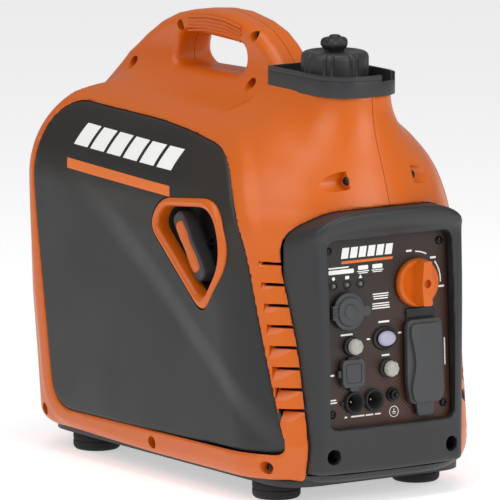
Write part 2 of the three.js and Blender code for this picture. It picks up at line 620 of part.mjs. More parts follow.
onPanel('dc_socket', at(DC_SOCKET, turned([
  [10.5, 3], [17.5, 3], [17.5, GAP], [SOCKET_RADIUS, GAP], [SOCKET_RADIUS, -30], [0, -30], [0, -27], [10.5, -27], [10.5, 3],
], 28).add(block(-19.5, -16, -6, 6, GAP, 3))), CHARCOAL);
onPanel('dc_socket_cover', at(DC_SOCKET, disc(18.5, 3.4, 7, 28)
  .add(disc(11, 6, 9.5, 20))
  .add(prism(PLAN_VIEW, roundedRectangle(12, 12, 5, 19, -1), 3.4, 6.5))
  .add(block(-21, -14, -7, 7, 3.4, 8.5))), CHARCOAL);

for (const [name, place] of [['dc_breaker', DC_BREAKER], ['ac_breaker', AC_BREAKER]]) {
  onPanel(name, at(place, turned([
    [4.2, 4], [9.5, 4], [9.5, GAP], [BREAKER_RADIUS, GAP], [BREAKER_RADIUS, -24], [0, -24], [0, -20], [4.2, -20], [4.2, 4],
  ], 18)), SOOT);
  onPanel(`${name}_button`, at(place, turned([
    [0, -8], [3.7, -8], [3.7, 6.8], [7.8, 6.8], [7.8, 10.5], [6, 13.4], [0, 14.5],
  ], 20)), LENS);
}

onPanel('economy_bezel', at(ECONOMY, prism(PLAN_VIEW, roundedRectangle(29, 24, 10), GAP, 3.2)
  .add(prism(PLAN_VIEW, roundedRectangle(...ECONOMY_BODY, 5), -12, 1))
  .subtract(prism(PLAN_VIEW, roundedRectangle(25, 19, 8), 1.4, 10))
  .subtract(prism(PLAN_VIEW, roundedRectangle(17, 11, 4), -9, 10))), SOOT);
onPanel('economy_rocker', at(ECONOMY, prism(PLAN_VIEW, roundedRectangle(22, 16, 7), 3.6, 8, { bevel: 1.8 })
  .add(block(-4, 4, -4, 4, -4, 5))), LENS);

onPanel('usb_port', at(USB, prism(PLAN_VIEW, roundedRectangle(25, 27, 5), GAP, 1.8)
  .add(prism(PLAN_VIEW, roundedRectangle(...USB_BODY, 2.5), -18, 1))
  .subtract(union([-4.5, 4.5].map((v) => block(-6.5, 6.5, v - 3.2, v + 3.2, -14, 10))))), SOOT);
onPanel('usb_cover', at(USB, prism(PLAN_VIEW, roundedRectangle(26, 27, 5), 2.2, 7.5)
  .add(block(-4, 4, 12, 15.5, 2.2, 5))
  .add(block(-16.5, -12, -4, 4, 2.2, 5))
  .add(prism(PLAN_VIEW, roundedRectangle(9, 7, 3, 3, -14), 2.2, 5))), RUBBER);

PARALLEL.forEach((place, i) => {
  onPanel(`parallel_outlet_${i + 1}`, at(place, turned([
    [5, -18], [PARALLEL_RADIUS, -18], [PARALLEL_RADIUS, GAP], [11, GAP], [11, 4.5], [9.2, 4.5], [5, -8], [5, -18],
  ], 18)), SOOT);
});
onPanel('ground_terminal', at(GROUND, disc(GROUND_RADIUS, -10, 11, 12)
  .add(disc(7, GAP, 2.4, 6))
  .add(disc(5, 2, 6.5, 12))), BRASS);

function outletFace(v) {
  return prism(PLAN_VIEW, roundedRectangle(30, 29, 10, 0, v), -1, 2.6);
}
const outletSlots = (v) => union([
  block(-8, -5.6, v, v + 8, -6, 10), block(5.6, 8, v, v + 8, -6, 10), disc(2.6, -6, 10, 8).translate([0, v - 7, 0]),
]);
onPanel('duplex_outlet', at(OUTLET, prism(PLAN_VIEW, roundedRectangle(...OUTLET_BODY, 0.6), -26, 1.4)
  .add(outletFace(18.5))
  .add(outletFace(-18.5))
  .add(block(-16.5, 16.5, 30, 46, GAP, 1.4))
  .add(prism(PLAN_VIEW, roundedRectangle(34, 8, 3, 0, 44.5), GAP, 3.2))
  .subtract(outletSlots(18.5)).subtract(outletSlots(-18.5))), SOOT);
const COVER_V = -41;
const COVER_OUTLINE = [
  [-9, -49, 3], [9, -49, 3], [10, -41, 3], [18, -37, 6], [22, -18, 10], [20, 46, 10], [-20, 46, 10],
  [-22, -18, 10], [-18, -37, 6], [-10, -41, 3],
];
onPanel('outlet_cover', at([OUTLET[0], COVER_V], prism(PLAN_VIEW, roundedOutline(COVER_OUTLINE), 3.6, 12.5, {
  bevel: 2.5, curveSegments: 3,
})), RUBBER);

for (const [name, place] of Object.entries(LEDS)) {
  onPanel(name, at(place, turned([[0, -4], [LED_RADIUS, -4], [LED_RADIUS, 0.5], [0, 1.6]], 14)), LENS);
}

export default generator;
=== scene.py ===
"""An inverter generator: moulded orange case, dark covers and a front control panel."""
import json
import math

import bmesh
import bpy
import numpy as np
from mathutils import Matrix, Vector


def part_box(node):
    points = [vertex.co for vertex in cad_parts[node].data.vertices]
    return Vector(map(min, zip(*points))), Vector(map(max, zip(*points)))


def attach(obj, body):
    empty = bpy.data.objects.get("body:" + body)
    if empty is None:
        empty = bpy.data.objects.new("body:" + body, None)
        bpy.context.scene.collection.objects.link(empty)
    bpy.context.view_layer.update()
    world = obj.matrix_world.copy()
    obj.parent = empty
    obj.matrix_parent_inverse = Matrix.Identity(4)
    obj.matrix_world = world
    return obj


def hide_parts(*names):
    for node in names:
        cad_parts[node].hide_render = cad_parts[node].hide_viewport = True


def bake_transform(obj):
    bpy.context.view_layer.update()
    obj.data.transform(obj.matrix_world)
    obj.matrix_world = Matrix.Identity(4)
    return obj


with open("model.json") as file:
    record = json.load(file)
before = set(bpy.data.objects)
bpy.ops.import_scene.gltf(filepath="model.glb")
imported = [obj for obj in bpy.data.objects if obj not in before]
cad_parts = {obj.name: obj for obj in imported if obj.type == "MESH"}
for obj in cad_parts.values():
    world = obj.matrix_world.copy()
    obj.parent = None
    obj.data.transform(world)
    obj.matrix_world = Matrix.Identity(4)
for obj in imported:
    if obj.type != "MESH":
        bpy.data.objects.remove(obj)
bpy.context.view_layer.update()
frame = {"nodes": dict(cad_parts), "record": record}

# ---- Studio --------------------------------------------------------------------------------------
# A pale floor that gives off a little light of its own, in an evenly lit room, with a broad soft
# box on the left, a second one in front and a third above. The lens is long and looks slightly
# down on the case, from the left of its front.
AZIMUTH = math.radians(-34)
ELEVATION = math.radians(9)
DISTANCE = 8.5
LENS = 612
AIM = Vector((0, -0.0025, 0.228))
AIM_RIGHT = -0.006
AIM_UP = -0.0105


def direction(azimuth, elevation):
    across = math.cos(elevation)
    return Vector((math.sin(azimuth) * across, -math.cos(azimuth) * across, math.sin(elevation)))


def look_at(obj, place, target):
    obj.location = place
    obj.rotation_euler = (target - place).to_track_quat("-Z", "Y").to_euler()
    bpy.context.collection.objects.link(obj)


toward = direction(AZIMUTH, ELEVATION)
right = Vector((math.cos(AZIMUTH), math.sin(AZIMUTH), 0))
aim = AIM + right * AIM_RIGHT + toward.cross(right) * AIM_UP
camera = bpy.data.objects.new("camera", bpy.data.cameras.new("camera"))
camera.data.lens = LENS
camera.data.clip_end = 60
look_at(camera, aim + toward * DISTANCE, aim)
bpy.context.scene.camera = camera

floor_mesh = bpy.data.meshes.new("studio_floor")
FLOOR_REACH = 14
floor_corners = [(-1, -1), (1, -1), (1, 1), (-1, 1)]
floor_mesh.from_pydata([(x * FLOOR_REACH, y * FLOOR_REACH, 0) for x, y in floor_corners], [], [(0, 1, 2, 3)])
floor = bpy.data.objects.new("studio_floor", floor_mesh)
bpy.context.collection.objects.link(floor)
paper = bpy.data.materials.new("matt white paper")
paper.use_nodes = True
paper.node_tree.nodes["Principled BSDF"].inputs["Base Color"].default_value = (0.86, 0.86, 0.86, 1)
paper.node_tree.nodes["Principled BSDF"].inputs["Roughness"].default_value = 0.9
paper.node_tree.nodes["Principled BSDF"].inputs["Emission Color"].default_value = (1, 1, 1, 1)
paper.node_tree.nodes["Principled BSDF"].inputs["Emission Strength"].default_value = 0.5
floor_mesh.materials.append(paper)

world = bpy.data.worlds.new("studio")
world.use_nodes = True
world.node_tree.nodes["Background"].inputs["Color"].default_value = (1, 1, 1, 1)
world.node_tree.nodes["Background"].inputs["Strength"].default_value = 0.34
bpy.context.scene.world = world
bpy.context.scene.view_settings.view_transform = "Standard"

for name, azimuth, elevation, distance, width, power in (
    ("left_soft_box", -70, 36, 2.2, 1.3, 13),
    ("front_soft_box", 12, 24, 2.4, 1.2, 18),
    ("top_soft_box", -30, 78, 2.0, 1.4, 16),
):
    light = bpy.data.objects.new(name, bpy.data.lights.new(name, "AREA"))
    light.data.size = width
    light.data.energy = power
    look_at(light, AIM + direction(math.radians(azimuth), math.radians(elevation)) * distance, AIM)

# ---- Shell halves --------------------------------------------------------------------------------
# Two mirrored halves of orange ABS, injection moulded with 3 mm walls and screwed together
# along the middle plane. The skin is a long box with sloping shoulders, blended into the stand
# under the filler and the arched handle. The mould's fine grain leaves it satin.
MM = 0.001
WALL = 3.0
SEAM = 0.3
GRID = 2.6

case_low, case_high = (Vector(corner) * 1000 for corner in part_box("left_shell"))
HALF_WIDTH = -case_low.x
FRONT_Y = case_low.y - 0.5
REAR_Y = -FRONT_Y
BOTTOM_Z = case_low.z
HANDLE_Z = case_high.z
SHOULDER_Z = HANDLE_Z - 79.5
STAND_Z = HANDLE_Z - 59.5

HANDLE_ARCH = [
    (222, 300), (226, 364), (198, 399), (170, 419), (142, 435), (115, 445.5), (88, 451.5), (54, 455),
    (24, 455), (-10, 449.5), (-34, 442), (-52, 431), (-67, 418), (-79, 404), (-90, 396),
    (-118, 385), (-118, 300),
]
FINGER_GAP = [(-15, 397, 14), (112, 394, 16), (102, 431, 16), (-15, 427, 14)]
FASCIA_OUTLINE = [
    (-90, 31.5, 2), (90, 31.5, 2), (93, 150, 20), (101, 236, 30), (99, 268, 26), (66, 289, 26),
    (0, 292.5, 30), (-66, 289, 26), (-99, 268, 26), (-101, 236, 30), (-93, 150, 20),
]
SIDE_OUTLINE = [
    (-216, 51, 14), (166, 47, 34), (206, 290, 60), (196, 357, 44),
    (-10, 354, 60), (-122, 338, 62), (-160, 264, 40),
]
REAR_OUTLINE = [(-124, 52, 34), (124, 52, 34), (124, 300, 48), (-124, 300, 48)]
GRIP_INSET = [(-12, 433, 4), (92, 434, 4), (92, 448, 4), (24, 452.5, 8), (-12, 445, 4)]


def srgb(text):
    """A colour written as six hex digits, as linear red, green, blue and alpha."""
    channels = [int(text[i:i + 2], 16) / 255 for i in (0, 2, 4)]
    return tuple(c / 12.92 if c <= 0.04045 else ((c + 0.055) / 1.055) ** 2.4 for c in channels) + (1,)


def add_node(tree, kind, values=None, links=None, **settings):
    """A node with its settings, its socket values and its links, as {socket: (node, output)}."""
    node = tree.nodes.new(kind)
    for key, value in settings.items():
        setattr(node, key, value)
    for key, value in (values or {}).items():
        node.inputs[key].default_value = value
    for key, (source, output) in (links or {}).items():
        tree.links.new(source.outputs[output], node.inputs[key])
    return node


def moulded(name, colour, roughness, grain=0.3, mottle=0.06, grain_mm=0.9, ior=1.5):
    """A moulded plastic or rubber: a faint mottle, and a spark-eroded grain drawn coarser than its 0.2 mm."""
    material = bpy.data.materials.new(name)
    material.use_nodes = True
    tree = material.node_tree
    shader = tree.nodes["Principled BSDF"]
    place = add_node(tree, "ShaderNodeTexCoord")
    cloud = add_node(
        tree, "ShaderNodeTexNoise", {"Scale": 14.0, "Detail": 4.0}, {"Vector": (place, "Object")})
    grit = add_node(
        tree, "ShaderNodeTexNoise", {"Scale": 1 / (grain_mm * MM), "Detail": 2.0},
        {"Vector": (place, "Object")})
    tone = add_node(tree, "ShaderNodeMix", links={"Factor": (cloud, "Fac")}, data_type="RGBA")
    base = Vector(srgb(colour)[:3])
    tone.inputs["A"].default_value = (*(base * (1 - mottle)), 1)
    tone.inputs["B"].default_value = (*(base * (1 + mottle)), 1)
    sheen = add_node(
        tree, "ShaderNodeMapRange",
        {"From Min": 0.3, "From Max": 0.7, "To Min": roughness - 0.04, "To Max": roughness + 0.05},
        {"Value": (cloud, "Fac")})
    bump = add_node(
        tree, "ShaderNodeBump", {"Strength": grain, "Distance": 0.15 * MM}, {"Height": (grit, "Fac")})
    tree.links.new(tone.outputs["Result"], shader.inputs["Base Color"])
    tree.links.new(sheen.outputs["Result"], shader.inputs["Roughness"])
    tree.links.new(bump.outputs["Normal"], shader.inputs["Normal"])
    shader.inputs["IOR"].default_value = ior
    return material


def ramp(value, start, end):
    return np.clip((value - start) / (end - start), 0, 1)


def soft_step(value, start, end):
    t = ramp(value, start, end)
    return t * t * (3 - 2 * t)


def soft_min(a, b, k):
    h = np.clip(0.5 + 0.5 * (b - a) / k, 0, 1)
    return b + (a - b) * h - k * h * (1 - h)


def soft_max(a, b, k):
    return -soft_min(-a, -b, k)


def corner(u, v, r):
    """Distance outside a corner of radius r, from two distances measured past its centre."""
    return np.hypot(np.maximum(u, 0), np.maximum(v, 0)) + np.minimum(np.maximum(u, v), 0) - r


def rounded(corners, grow=0.0, steps=10):
    """The points of a closed outline, its corners given as (x, y, radius) and its sides moved out by grow."""
    count = len(corners)
    moved = []
    for i, (x, y, radius) in enumerate(corners):
        place = Vector((x, y))
        before = (place - Vector(corners[i - 1][:2])).normalized()
        after = (Vector(corners[(i + 1) % count][:2]) - place).normalized()
        bisector = Vector((before.y + after.y, -before.x - after.x)).normalized()
        reach = grow / max(0.4, bisector.x * before.y - bisector.y * before.x)
        moved.append((place + bisector * reach, radius))
    points = []
    for i, (place, radius) in enumerate(moved):
        before = moved[i - 1][0] - place
        after = moved[(i + 1) % count][0] - place
        fillet = min(radius, 0.49 * before.length, 0.49 * after.length)
        start = place + before.normalized() * fillet
        end = place + after.normalized() * fillet
        for step in range(steps + 1):
            t = step / steps
            points.append(tuple(start * (1 - t) ** 2 + place * 2 * t * (1 - t) + end * t * t))
    return points


def outline_distance(points, u, v):
    """Distance from a closed outline, negative inside it."""
    nearest = np.full(np.broadcast(u, v).shape, 1e12)
    sign = np.ones_like(nearest)
    for i, (ax, ay) in enumerate(points):
        bx, by = points[i - 1]
        ex, ey = bx - ax, by - ay
        wx, wy = u - ax, v - ay
        t = np.clip((wx * ex + wy * ey) / max(ex * ex + ey * ey, 1e-9), 0, 1)
        nearest = np.minimum(nearest, (wx - ex * t) ** 2 + (wy - ey * t) ** 2)
        above, below, left = v >= ay, v < by, ex * wy > ey * wx
        sign = np.where((above & below & left) | (~above & ~below & ~left), -sign, sign)
    return sign * np.sqrt(nearest)


SIDE_POINTS = rounded(SIDE_OUTLINE, steps=5)
GAP_POINTS = rounded(FINGER_GAP, steps=5)
FRONT_POINTS = rounded(FASCIA_OUTLINE, steps=5)
INSET_POINTS = rounded(GRIP_INSET, steps=4)


def body_distance(x, y, z):
    """Distance outside the main body: wide nose corners in front, tighter ones behind, sloping shoulders."""
    front = FRONT_Y + 4 * ramp(z, 240, 291) ** 2 + 4 * ramp(z, BOTTOM_Z + 38, BOTTOM_Z)
    rear = REAR_Y - 9 * ramp(z, 200, 40)
    radius = np.where(y < 0, 92 + 42 * ramp(z, 60, 250), 58 - 10 * ramp(z, 60, 160))
    half = HALF_WIDTH - 3 * ramp(z, 60, BOTTOM_Z) ** 2
    along = np.where(y < 0, front + radius - y, y - rear + radius)
    plan = corner(np.abs(x) - half + radius, along, radius)
    shoulder = 98 + 18 * ramp(y, 0, -170)
    top = corner(plan + shoulder, z - SHOULDER_Z + shoulder, shoulder)
    floor_radius = 10 + 10 * ramp(y, 0, 150)
    bottom = corner(plan + floor_radius, BOTTOM_Z - z + floor_radius, floor_radius)
    return np.maximum(top, bottom)


def skin_distance(x, y, z):
    """Distance outside the whole skin: body, raised side borders, filler stand, handle and finger gap."""
    flank = soft_step(np.abs(x), 70, 105)
    side = outline_distance(SIDE_POINTS, y, z)
    body = body_distance(x, y, z) + 2.4 * flank * soft_step(side, 12, 24)
    arch = outline_distance(HANDLE_ARCH, y, z)
    flare = 22 + 10 * ramp(z, 420, 360) ** 2
    inset = 1.4 * soft_step(-outline_distance(INSET_POINTS, y, z), -0.5, 2.5)
    handle = corner(arch + 11, np.abs(x) - flare + inset + 11, 11)
    nose = np.where(y < -100, -165.5 - y, -1000.0)
    stand = np.maximum(corner(np.abs(x) - 1, nose, 40), y + 82.5)
    stand = np.maximum(stand, np.maximum(z - STAND_Z, 300 - z))
    whole = soft_min(body, soft_min(handle, stand, 14), 40)
    return soft_max(whole, -outline_distance(GAP_POINTS, y, z), 9)


def surface_net(distance, low, high, step):
    """Points and four-sided faces of the surface where distance is nought, on a grid of that step."""
    axes = [np.arange(low[i] - step, high[i] + 2 * step, step) for i in range(3)]
    grid = np.meshgrid(*axes, indexing="ij", sparse=True)
    field = np.array(np.broadcast_to(distance(*grid), tuple(len(a) for a in axes)), dtype=np.float32)
    inside = field < 0
    cells = np.array(field.shape) - 1
    corners = [inside[tuple(slice(d, d + c) for d, c in zip(first, cells))] for first in np.ndindex(2, 2, 2)]
    total_inside = sum(c.astype(np.int8) for c in corners)
    cell = np.argwhere((total_inside > 0) & (total_inside < 8))
    number = -np.ones(cells, int)
    number[tuple(cell.T)] = np.arange(len(cell))
    total = np.zeros((len(cell), 3))
    count = np.zeros(len(cell))
    for axis in range(3):
        for first in np.ndindex(2, 2, 2):
            if first[axis]:
                continue
            start = cell + first
            end = start.copy()
            end[:, axis] += 1
            a, b = field[tuple(start.T)], field[tuple(end.T)]
            crossed = (a < 0) != (b < 0)
            t = np.where(crossed, a / np.where(a == b, 1, a - b), 0)
            for c in range(3):
                total[:, c] += np.where(crossed, t if c == axis else first[c], 0)
            count += crossed
    points = np.array(low) - step + (cell + total / count[:, None]) * step
    faces = []
    for axis in range(3):
        u, v = (axis + 1) % 3, (axis + 2) % 3
        near = [slice(1, cells[t]) for t in range(3)]
        near[axis] = slice(0, cells[axis])
        far = list(near)
        far[axis] = slice(1, cells[axis] + 1)
        a, b = inside[tuple(near)], inside[tuple(far)]
        edge = np.argwhere(a != b)
        outward = a[a != b][:, None]
        edge[:, [u, v]] += 1
        ring = []
        for du, dv in ((0, 0), (1, 0), (1, 1), (0, 1)):
            around = edge.copy()
            around[:, u] -= du
            around[:, v] -= dv
            ring.append(number[tuple(around.T)])
        quads = np.stack(ring, 1)
        faces.append(np.where(outward, quads, quads[:, ::-1]))
    for _ in range(2):
        here = distance(*points.T)
        slope = np.stack([distance(*(points + 0.4 * axis).T) - here for axis in np.eye(3)], 1) / 0.4
        length = np.maximum((slope ** 2).sum(1), 0.1)[:, None]
        points = points - np.clip(here[:, None] * slope / length, -1.5, 1.5)
    return points, np.vstack(faces)


def mesh_object(name, points, faces):
    """An object made from points in millimetres."""
    mesh = bpy.data.meshes.new(name)
    mesh.from_pydata([tuple(p) for p in np.asarray(points) * MM], [], [tuple(map(int, f)) for f in faces])
    obj = bpy.data.objects.new(name, mesh)
    bpy.context.collection.objects.link(obj)
    return obj


PLAN = Matrix.Identity(4)
SIDE = Matrix(((0, 0, 1, 0), (1, 0, 0, 0), (0, 1, 0, 0), (0, 0, 0, 1)))
FRONT = Matrix(((1, 0, 0, 0), (0, 0, -1, 0), (0, 1, 0, 0), (0, 0, 0, 1)))


def prism(name, points, low, high, view=PLAN):
    """A flat outline carried from low to high along the view's own axis."""
    count = len(points)
    solid = [tuple(view @ Vector((x, y, level))) for level in (low, high) for x, y in points]
    area = sum(points[i - 1][0] * y - points[i - 1][1] * x for i, (x, y) in enumerate(points))
    faces = [list(range(count))[::-1], list(range(count, 2 * count))]
    faces += [(i, (i + 1) % count, (i + 1) % count + count, i + count) for i in range(count)]
    if (area < 0) != (view.determinant() < 0):
        faces = [face[::-1] for face in faces]
    return mesh_object(name, solid, faces)


def rectangle(width, height, radius, across=0.0, up=0.0, steps=6):
    corners = [(-width, -height), (width, -height), (width, height), (-width, height)]
    return rounded([(across + x / 2, up + y / 2, radius) for x, y in corners], steps=steps)


def circle(radius, sides=32, across=0.0, up=0.0):
    turns = [2 * math.pi * i / sides for i in range(sides)]
    return [(across + radius * math.cos(t), up + radius * math.sin(t)) for t in turns]


def apply_modifiers(obj):
    mesh = bpy.data.meshes.new_from_object(obj.evaluated_get(bpy.context.evaluated_depsgraph_get()))
    obj.modifiers.clear()
    obj.data = mesh
    return obj


def cut(obj, cutters, operation="DIFFERENCE"):
    """Cuts obj by each closed cutter, or joins or keeps it, and removes the cutters."""
    for cutter in cutters:
        modifier = obj.modifiers.new("cut", "BOOLEAN")
        modifier.operation = operation
        modifier.object = cutter
        modifier.solver = "MANIFOLD"
    apply_modifiers(obj)
    for cutter in cutters:
        bpy.data.objects.remove(cutter)
    return obj


def joined(name, pieces):
    """Several closed meshes that don't touch, as one object."""
    work = bmesh.new()
    for piece in pieces:
        work.from_mesh(piece.data)
        bpy.data.objects.remove(piece)
    mesh = bpy.data.meshes.new(name)
    work.to_mesh(mesh)
    work.free()
    obj = bpy.data.objects.new(name, mesh)
    bpy.context.collection.objects.link(obj)
    return obj


def finish_piece(obj, material, body="case", replaces=(), bevel=0.0, segments=2, angle=35):
    """Rounds the crisp edges, shades and paints a piece, and fixes it to its body."""
    if bevel:
        modifier = obj.modifiers.new("edge", "BEVEL")
        modifier.width = bevel * MM
        modifier.segments = segments
        modifier.limit_method = "ANGLE"
        modifier.angle_limit = math.radians(angle)
        apply_modifiers(obj)
    obj.data.polygons.foreach_set("use_smooth", [True] * len(obj.data.polygons))
    obj.data.set_sharp_from_angle(angle=math.radians(angle))
    obj.data.materials.clear()
    obj.data.materials.append(material)
    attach(obj, body)
    if replaces:
        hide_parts(*replaces)
    return obj


def rolled_edge(distance, radius=2.4):
    """How far a surface sinks as it rolls over an edge, from the distance to that edge."""
    t = 1 - np.clip(distance, 0, radius) / radius
    return radius * (1 - np.sqrt(np.maximum(1 - t * t, 0)))


ORANGE = moulded("orange moulded ABS", "CC5E05", 0.36, grain=0.16, mottle=0.03)

# Each well for a case screw: along the case, height, width from the middle at the mouth and floor, radius.
WELLS = [
    (-217, 317, 66, 38, 9.5), (-29, 437, 24, 12, 5.5), (101, 435, 24, 12, 5.5), (176, 389, 36, 12, 6.5),
    (-38, 391, 44, 18, 6.5), (188, 41, 134, 118, 6.5), (-14, 37, 134, 118, 6.5), (-197, 38, 134, 114, 6.5),
]
LOUVRE_COUNT = 8
LOUVRE_PITCH = 20.3
LOUVRE_WIDTH = 35.0
LOUVRE_HEIGHT = 13.0
LOUVRE_DEPTH = 8.0


def well(sign, place, from_x, to_x, grow=0.0):
    y, z, _, _, radius = place
    low, high = sorted((sign * from_x, sign * to_x))
    return prism("well", circle(radius + grow, 24, y, z), low, high, SIDE)


# Outlines across a louvre, as (outward, up): the boss behind it, the scoop with its sloping floor,
# and the slit along its top that lets the cooling air in.
LOUVRE_HALF = LOUVRE_HEIGHT / 2
LOUVRE_BOSS = [(-12, -LOUVRE_HALF - 3), (6, -LOUVRE_HALF - 3), (6, LOUVRE_HALF + 3), (-12, LOUVRE_HALF + 3)]
LOUVRE_SCOOP = [(0.6, -LOUVRE_HALF), (14, -LOUVRE_HALF), (14, LOUVRE_HALF), (-LOUVRE_DEPTH, LOUVRE_HALF)]
SLIT_LOW = LOUVRE_HALF - 3.4
SLIT_HIGH = LOUVRE_HALF - 0.4
LOUVRE_SLIT = [(-20, SLIT_LOW), (0, SLIT_LOW), (0, SLIT_HIGH), (-20, SLIT_HIGH)]


def louvres(name, shape, width):
    """One cutter for each louvre, on both front corners, following the nose as it narrows downward."""
    cutters = []
    across = Matrix(((0, 0, 1, 0), (-1, 0, 0, 0), (0, 1, 0, 0), (0, 0, 0, 1)))
    for sign in (-1, 1):
        turn = Matrix.Rotation(math.radians(sign * 58), 4, "Z")
        for i in range(LOUVRE_COUNT):
            place = Matrix.Translation((sign * (111 - i * 1.4), -196 - i * 3.4, 233 - i * LOUVRE_PITCH))
            cutters.append(prism(name, shape, -width / 2, width / 2, place @ turn @ across))
    return joined(name, cutters)


def shell_field(x, y, z):
    rim = rolled_edge(outline_distance(SIDE_POINTS, y, z)) * (np.abs(x) > 60)
    rim = rim + rolled_edge(outline_distance(FRONT_POINTS, x, z), 2.0) * (y < -120)
    return skin_distance(x, y, z) + rim


def skin_solid(name, distance, low, high, step):
    return mesh_object(name, *surface_net(distance, low, high, step))


case_low_mm = (-HALF_WIDTH - 1, FRONT_Y - 1, BOTTOM_Z - 1)
case_high_mm = (HALF_WIDTH + 1, REAR_Y + 1, HANDLE_Z + 1)
outer_skin = skin_solid("case", shell_field, case_low_mm, case_high_mm, GRID)
inner_skin = skin_solid(
    "inside", lambda x, y, z: skin_distance(x, y, z) + WALL, case_low_mm, case_high_mm, 5.2)
bosses = [well(sign, place, place[3] - 4, place[2] + 9, 2.6) for place in WELLS for sign in (-1, 1)]
cut(inner_skin, [joined("bosses", bosses), louvres("louvre_bosses", LOUVRE_BOSS, LOUVRE_WIDTH + 6)])
openings = [
    prism("front", rounded(FASCIA_OUTLINE, steps=8), 150, 300, FRONT),
    prism("rear", rounded(REAR_OUTLINE, steps=8), -300, -150, FRONT),
    prism("left", rounded(SIDE_OUTLINE, steps=8), -150, -60, SIDE),
    prism("right", rounded(SIDE_OUTLINE, steps=8), 60, 150, SIDE),
    prism("bottom", rectangle(220, 440, 40), 10, 30),
    prism("lip", rectangle(181, 90, 2, 0, -220), 8, 31.5),
]
wells = joined("wells", [well(sign, place, place[3], place[2] + 9) for place in WELLS for sign in (-1, 1)])
cut(outer_skin, [inner_skin, *openings, wells, louvres("scoops", LOUVRE_SCOOP, LOUVRE_WIDTH),
                 louvres("slits", LOUVRE_SLIT, LOUVRE_WIDTH - 5)])
for name, sign in (("left_shell", -1), ("right_shell", 1)):
    half = outer_skin.copy()
    half.data = outer_skin.data.copy()
    half.name = name + "_moulding"
    bpy.context.collection.objects.link(half)
    edge = sorted((sign * SEAM, sign * 200))
    keep = prism("keep", [(-300, -10), (300, -10), (300, 500), (-300, 500)], *edge, SIDE)
    cut(half, [keep], "INTERSECT")
    finish_piece(half, ORANGE, "case", [name])
bpy.data.objects.remove(outer_skin)

# ---- Handle ribs ---------------------------------------------------------------------------------
# Five soft ribs moulded along each flank of the handle, for grip. They follow the handle's arch.
RIB_COUNT = 5
RIB_PITCH = 3.5
RIB_RADIUS = 1.3
RIB_FROM_Y = 88
RIB_TO_Y = -6


def arch_top(y):
    """Height of the handle's top line at a place along the case."""
    line = sorted(point for point in HANDLE_ARCH if point[1] > 410)
    return float(np.interp(y, [p[0] for p in line], [p[1] for p in line]))


def path_tree(name):
    """A node tree that sweeps a round bar along every edge of a mesh."""
    tree = bpy.data.node_groups.new(name, "GeometryNodeTree")
    tree.interface.new_socket("Path", in_out="INPUT", socket_type="NodeSocketGeometry")
    tree.interface.new_socket("Radius", in_out="INPUT", socket_type="NodeSocketFloat")
    tree.interface.new_socket("Finish", in_out="INPUT", socket_type="NodeSocketMaterial")
    tree.interface.new_socket("Bars", in_out="OUTPUT", socket_type="NodeSocketGeometry")
    given = add_node(tree, "NodeGroupInput")
    line = add_node(tree, "GeometryNodeMeshToCurve", links={"Mesh": (given, "Path")})
    section = add_node(
        tree, "GeometryNodeCurvePrimitiveCircle", {"Resolution": 10}, {"Radius": (given, "Radius")})
    bar = add_node(
        tree, "GeometryNodeCurveToMesh", {"Fill Caps": True},
        {"Curve": (line, "Curve"), "Profile Curve": (section, "Curve")})
    real = add_node(tree, "GeometryNodeRealizeInstances", links={"Geometry": (bar, "Mesh")})
    paint = add_node(
        tree, "GeometryNodeSetMaterial",
        links={"Geometry": (real, "Geometry"), "Material": (given, "Finish")})
    add_node(tree, "NodeGroupOutput", links={"Bars": (paint, "Geometry")})
    return tree


def run_tree(obj, tree, values):
    """Runs a node tree on obj with its named inputs, and keeps the result as a plain mesh."""
    modifier = obj.modifiers.new(tree.name, "NODES")
    modifier.node_group = tree
    for socket in tree.interface.items_tree:
        if socket.in_out == "INPUT" and socket.name in values:
            modifier[socket.identifier] = values[socket.name]
    return apply_modifiers(obj)


rib_points = []
rib_edges = []
for side in (-1, 1):
    for row in range(RIB_COUNT):
        start = len(rib_points)
        for y in np.linspace(RIB_FROM_Y, RIB_TO_Y, 24):
            rib_points.append((side * 20.4, y, arch_top(y) - 6.5 - row * RIB_PITCH))
            if len(rib_points) - start > 1:
                rib_edges.append((len(rib_points) - 2, len(rib_points) - 1))
rib_mesh = bpy.data.meshes.new("handle_ribs")
rib_mesh.from_pydata([tuple(Vector(p) * MM) for p in rib_points], rib_edges, [])
handle_ribs = bpy.data.objects.new("handle_ribs", rib_mesh)
bpy.context.collection.objects.link(handle_ribs)
run_tree(handle_ribs, path_tree("rib_sweep"), {"Radius": RIB_RADIUS * MM, "Finish": ORANGE})
finish_piece(handle_ribs, ORANGE, angle=60)

# ---- Case and panel screws -----------------------------------------------------------------------
# Zinc-black pan head screws with a cross recess, at the foot of each well in the shells.
SCREW_RADIUS = 4.2
BLACK_ZINC = moulded("black zinc plated steel", "2B2C2E", 0.34, grain=0.05)
BLACK_ZINC.node_tree.nodes["Principled BSDF"].inputs["Metallic"].default_value = 0.8


def turned(name, profile, sides=48, ripple=None, view=PLAN):
    """A piece turned about local z. The profile lists (radius, height); ripple varies a radius."""
    points = []
    faces = []
    count = len(profile)
    for side in range(sides):
        angle = 2 * math.pi * side / sides
        for radius, height in profile:
            reach = ripple(angle, radius, height) if ripple else radius
            points.append(tuple(view @ Vector((reach * math.cos(angle), reach * math.sin(angle), height))))
    for side in range(sides):
        here, there = side * count, (side + 1) % sides * count
        for i in range(count):
            j = (i + 1) % count
            if profile[i][0] > 0 or profile[j][0] > 0:
                faces.append((here + i, here + j, there + j, there + i))
    obj = mesh_object(name, points, faces)
    work = bmesh.new()
    work.from_mesh(obj.data)
    bmesh.ops.remove_doubles(work, verts=work.verts, dist=0.00001)
    bmesh.ops.dissolve_degenerate(work, edges=work.edges, dist=0.000001)
    bmesh.ops.recalc_face_normals(work, faces=work.faces)
    work.to_mesh(obj.data)
    work.free()
    return obj


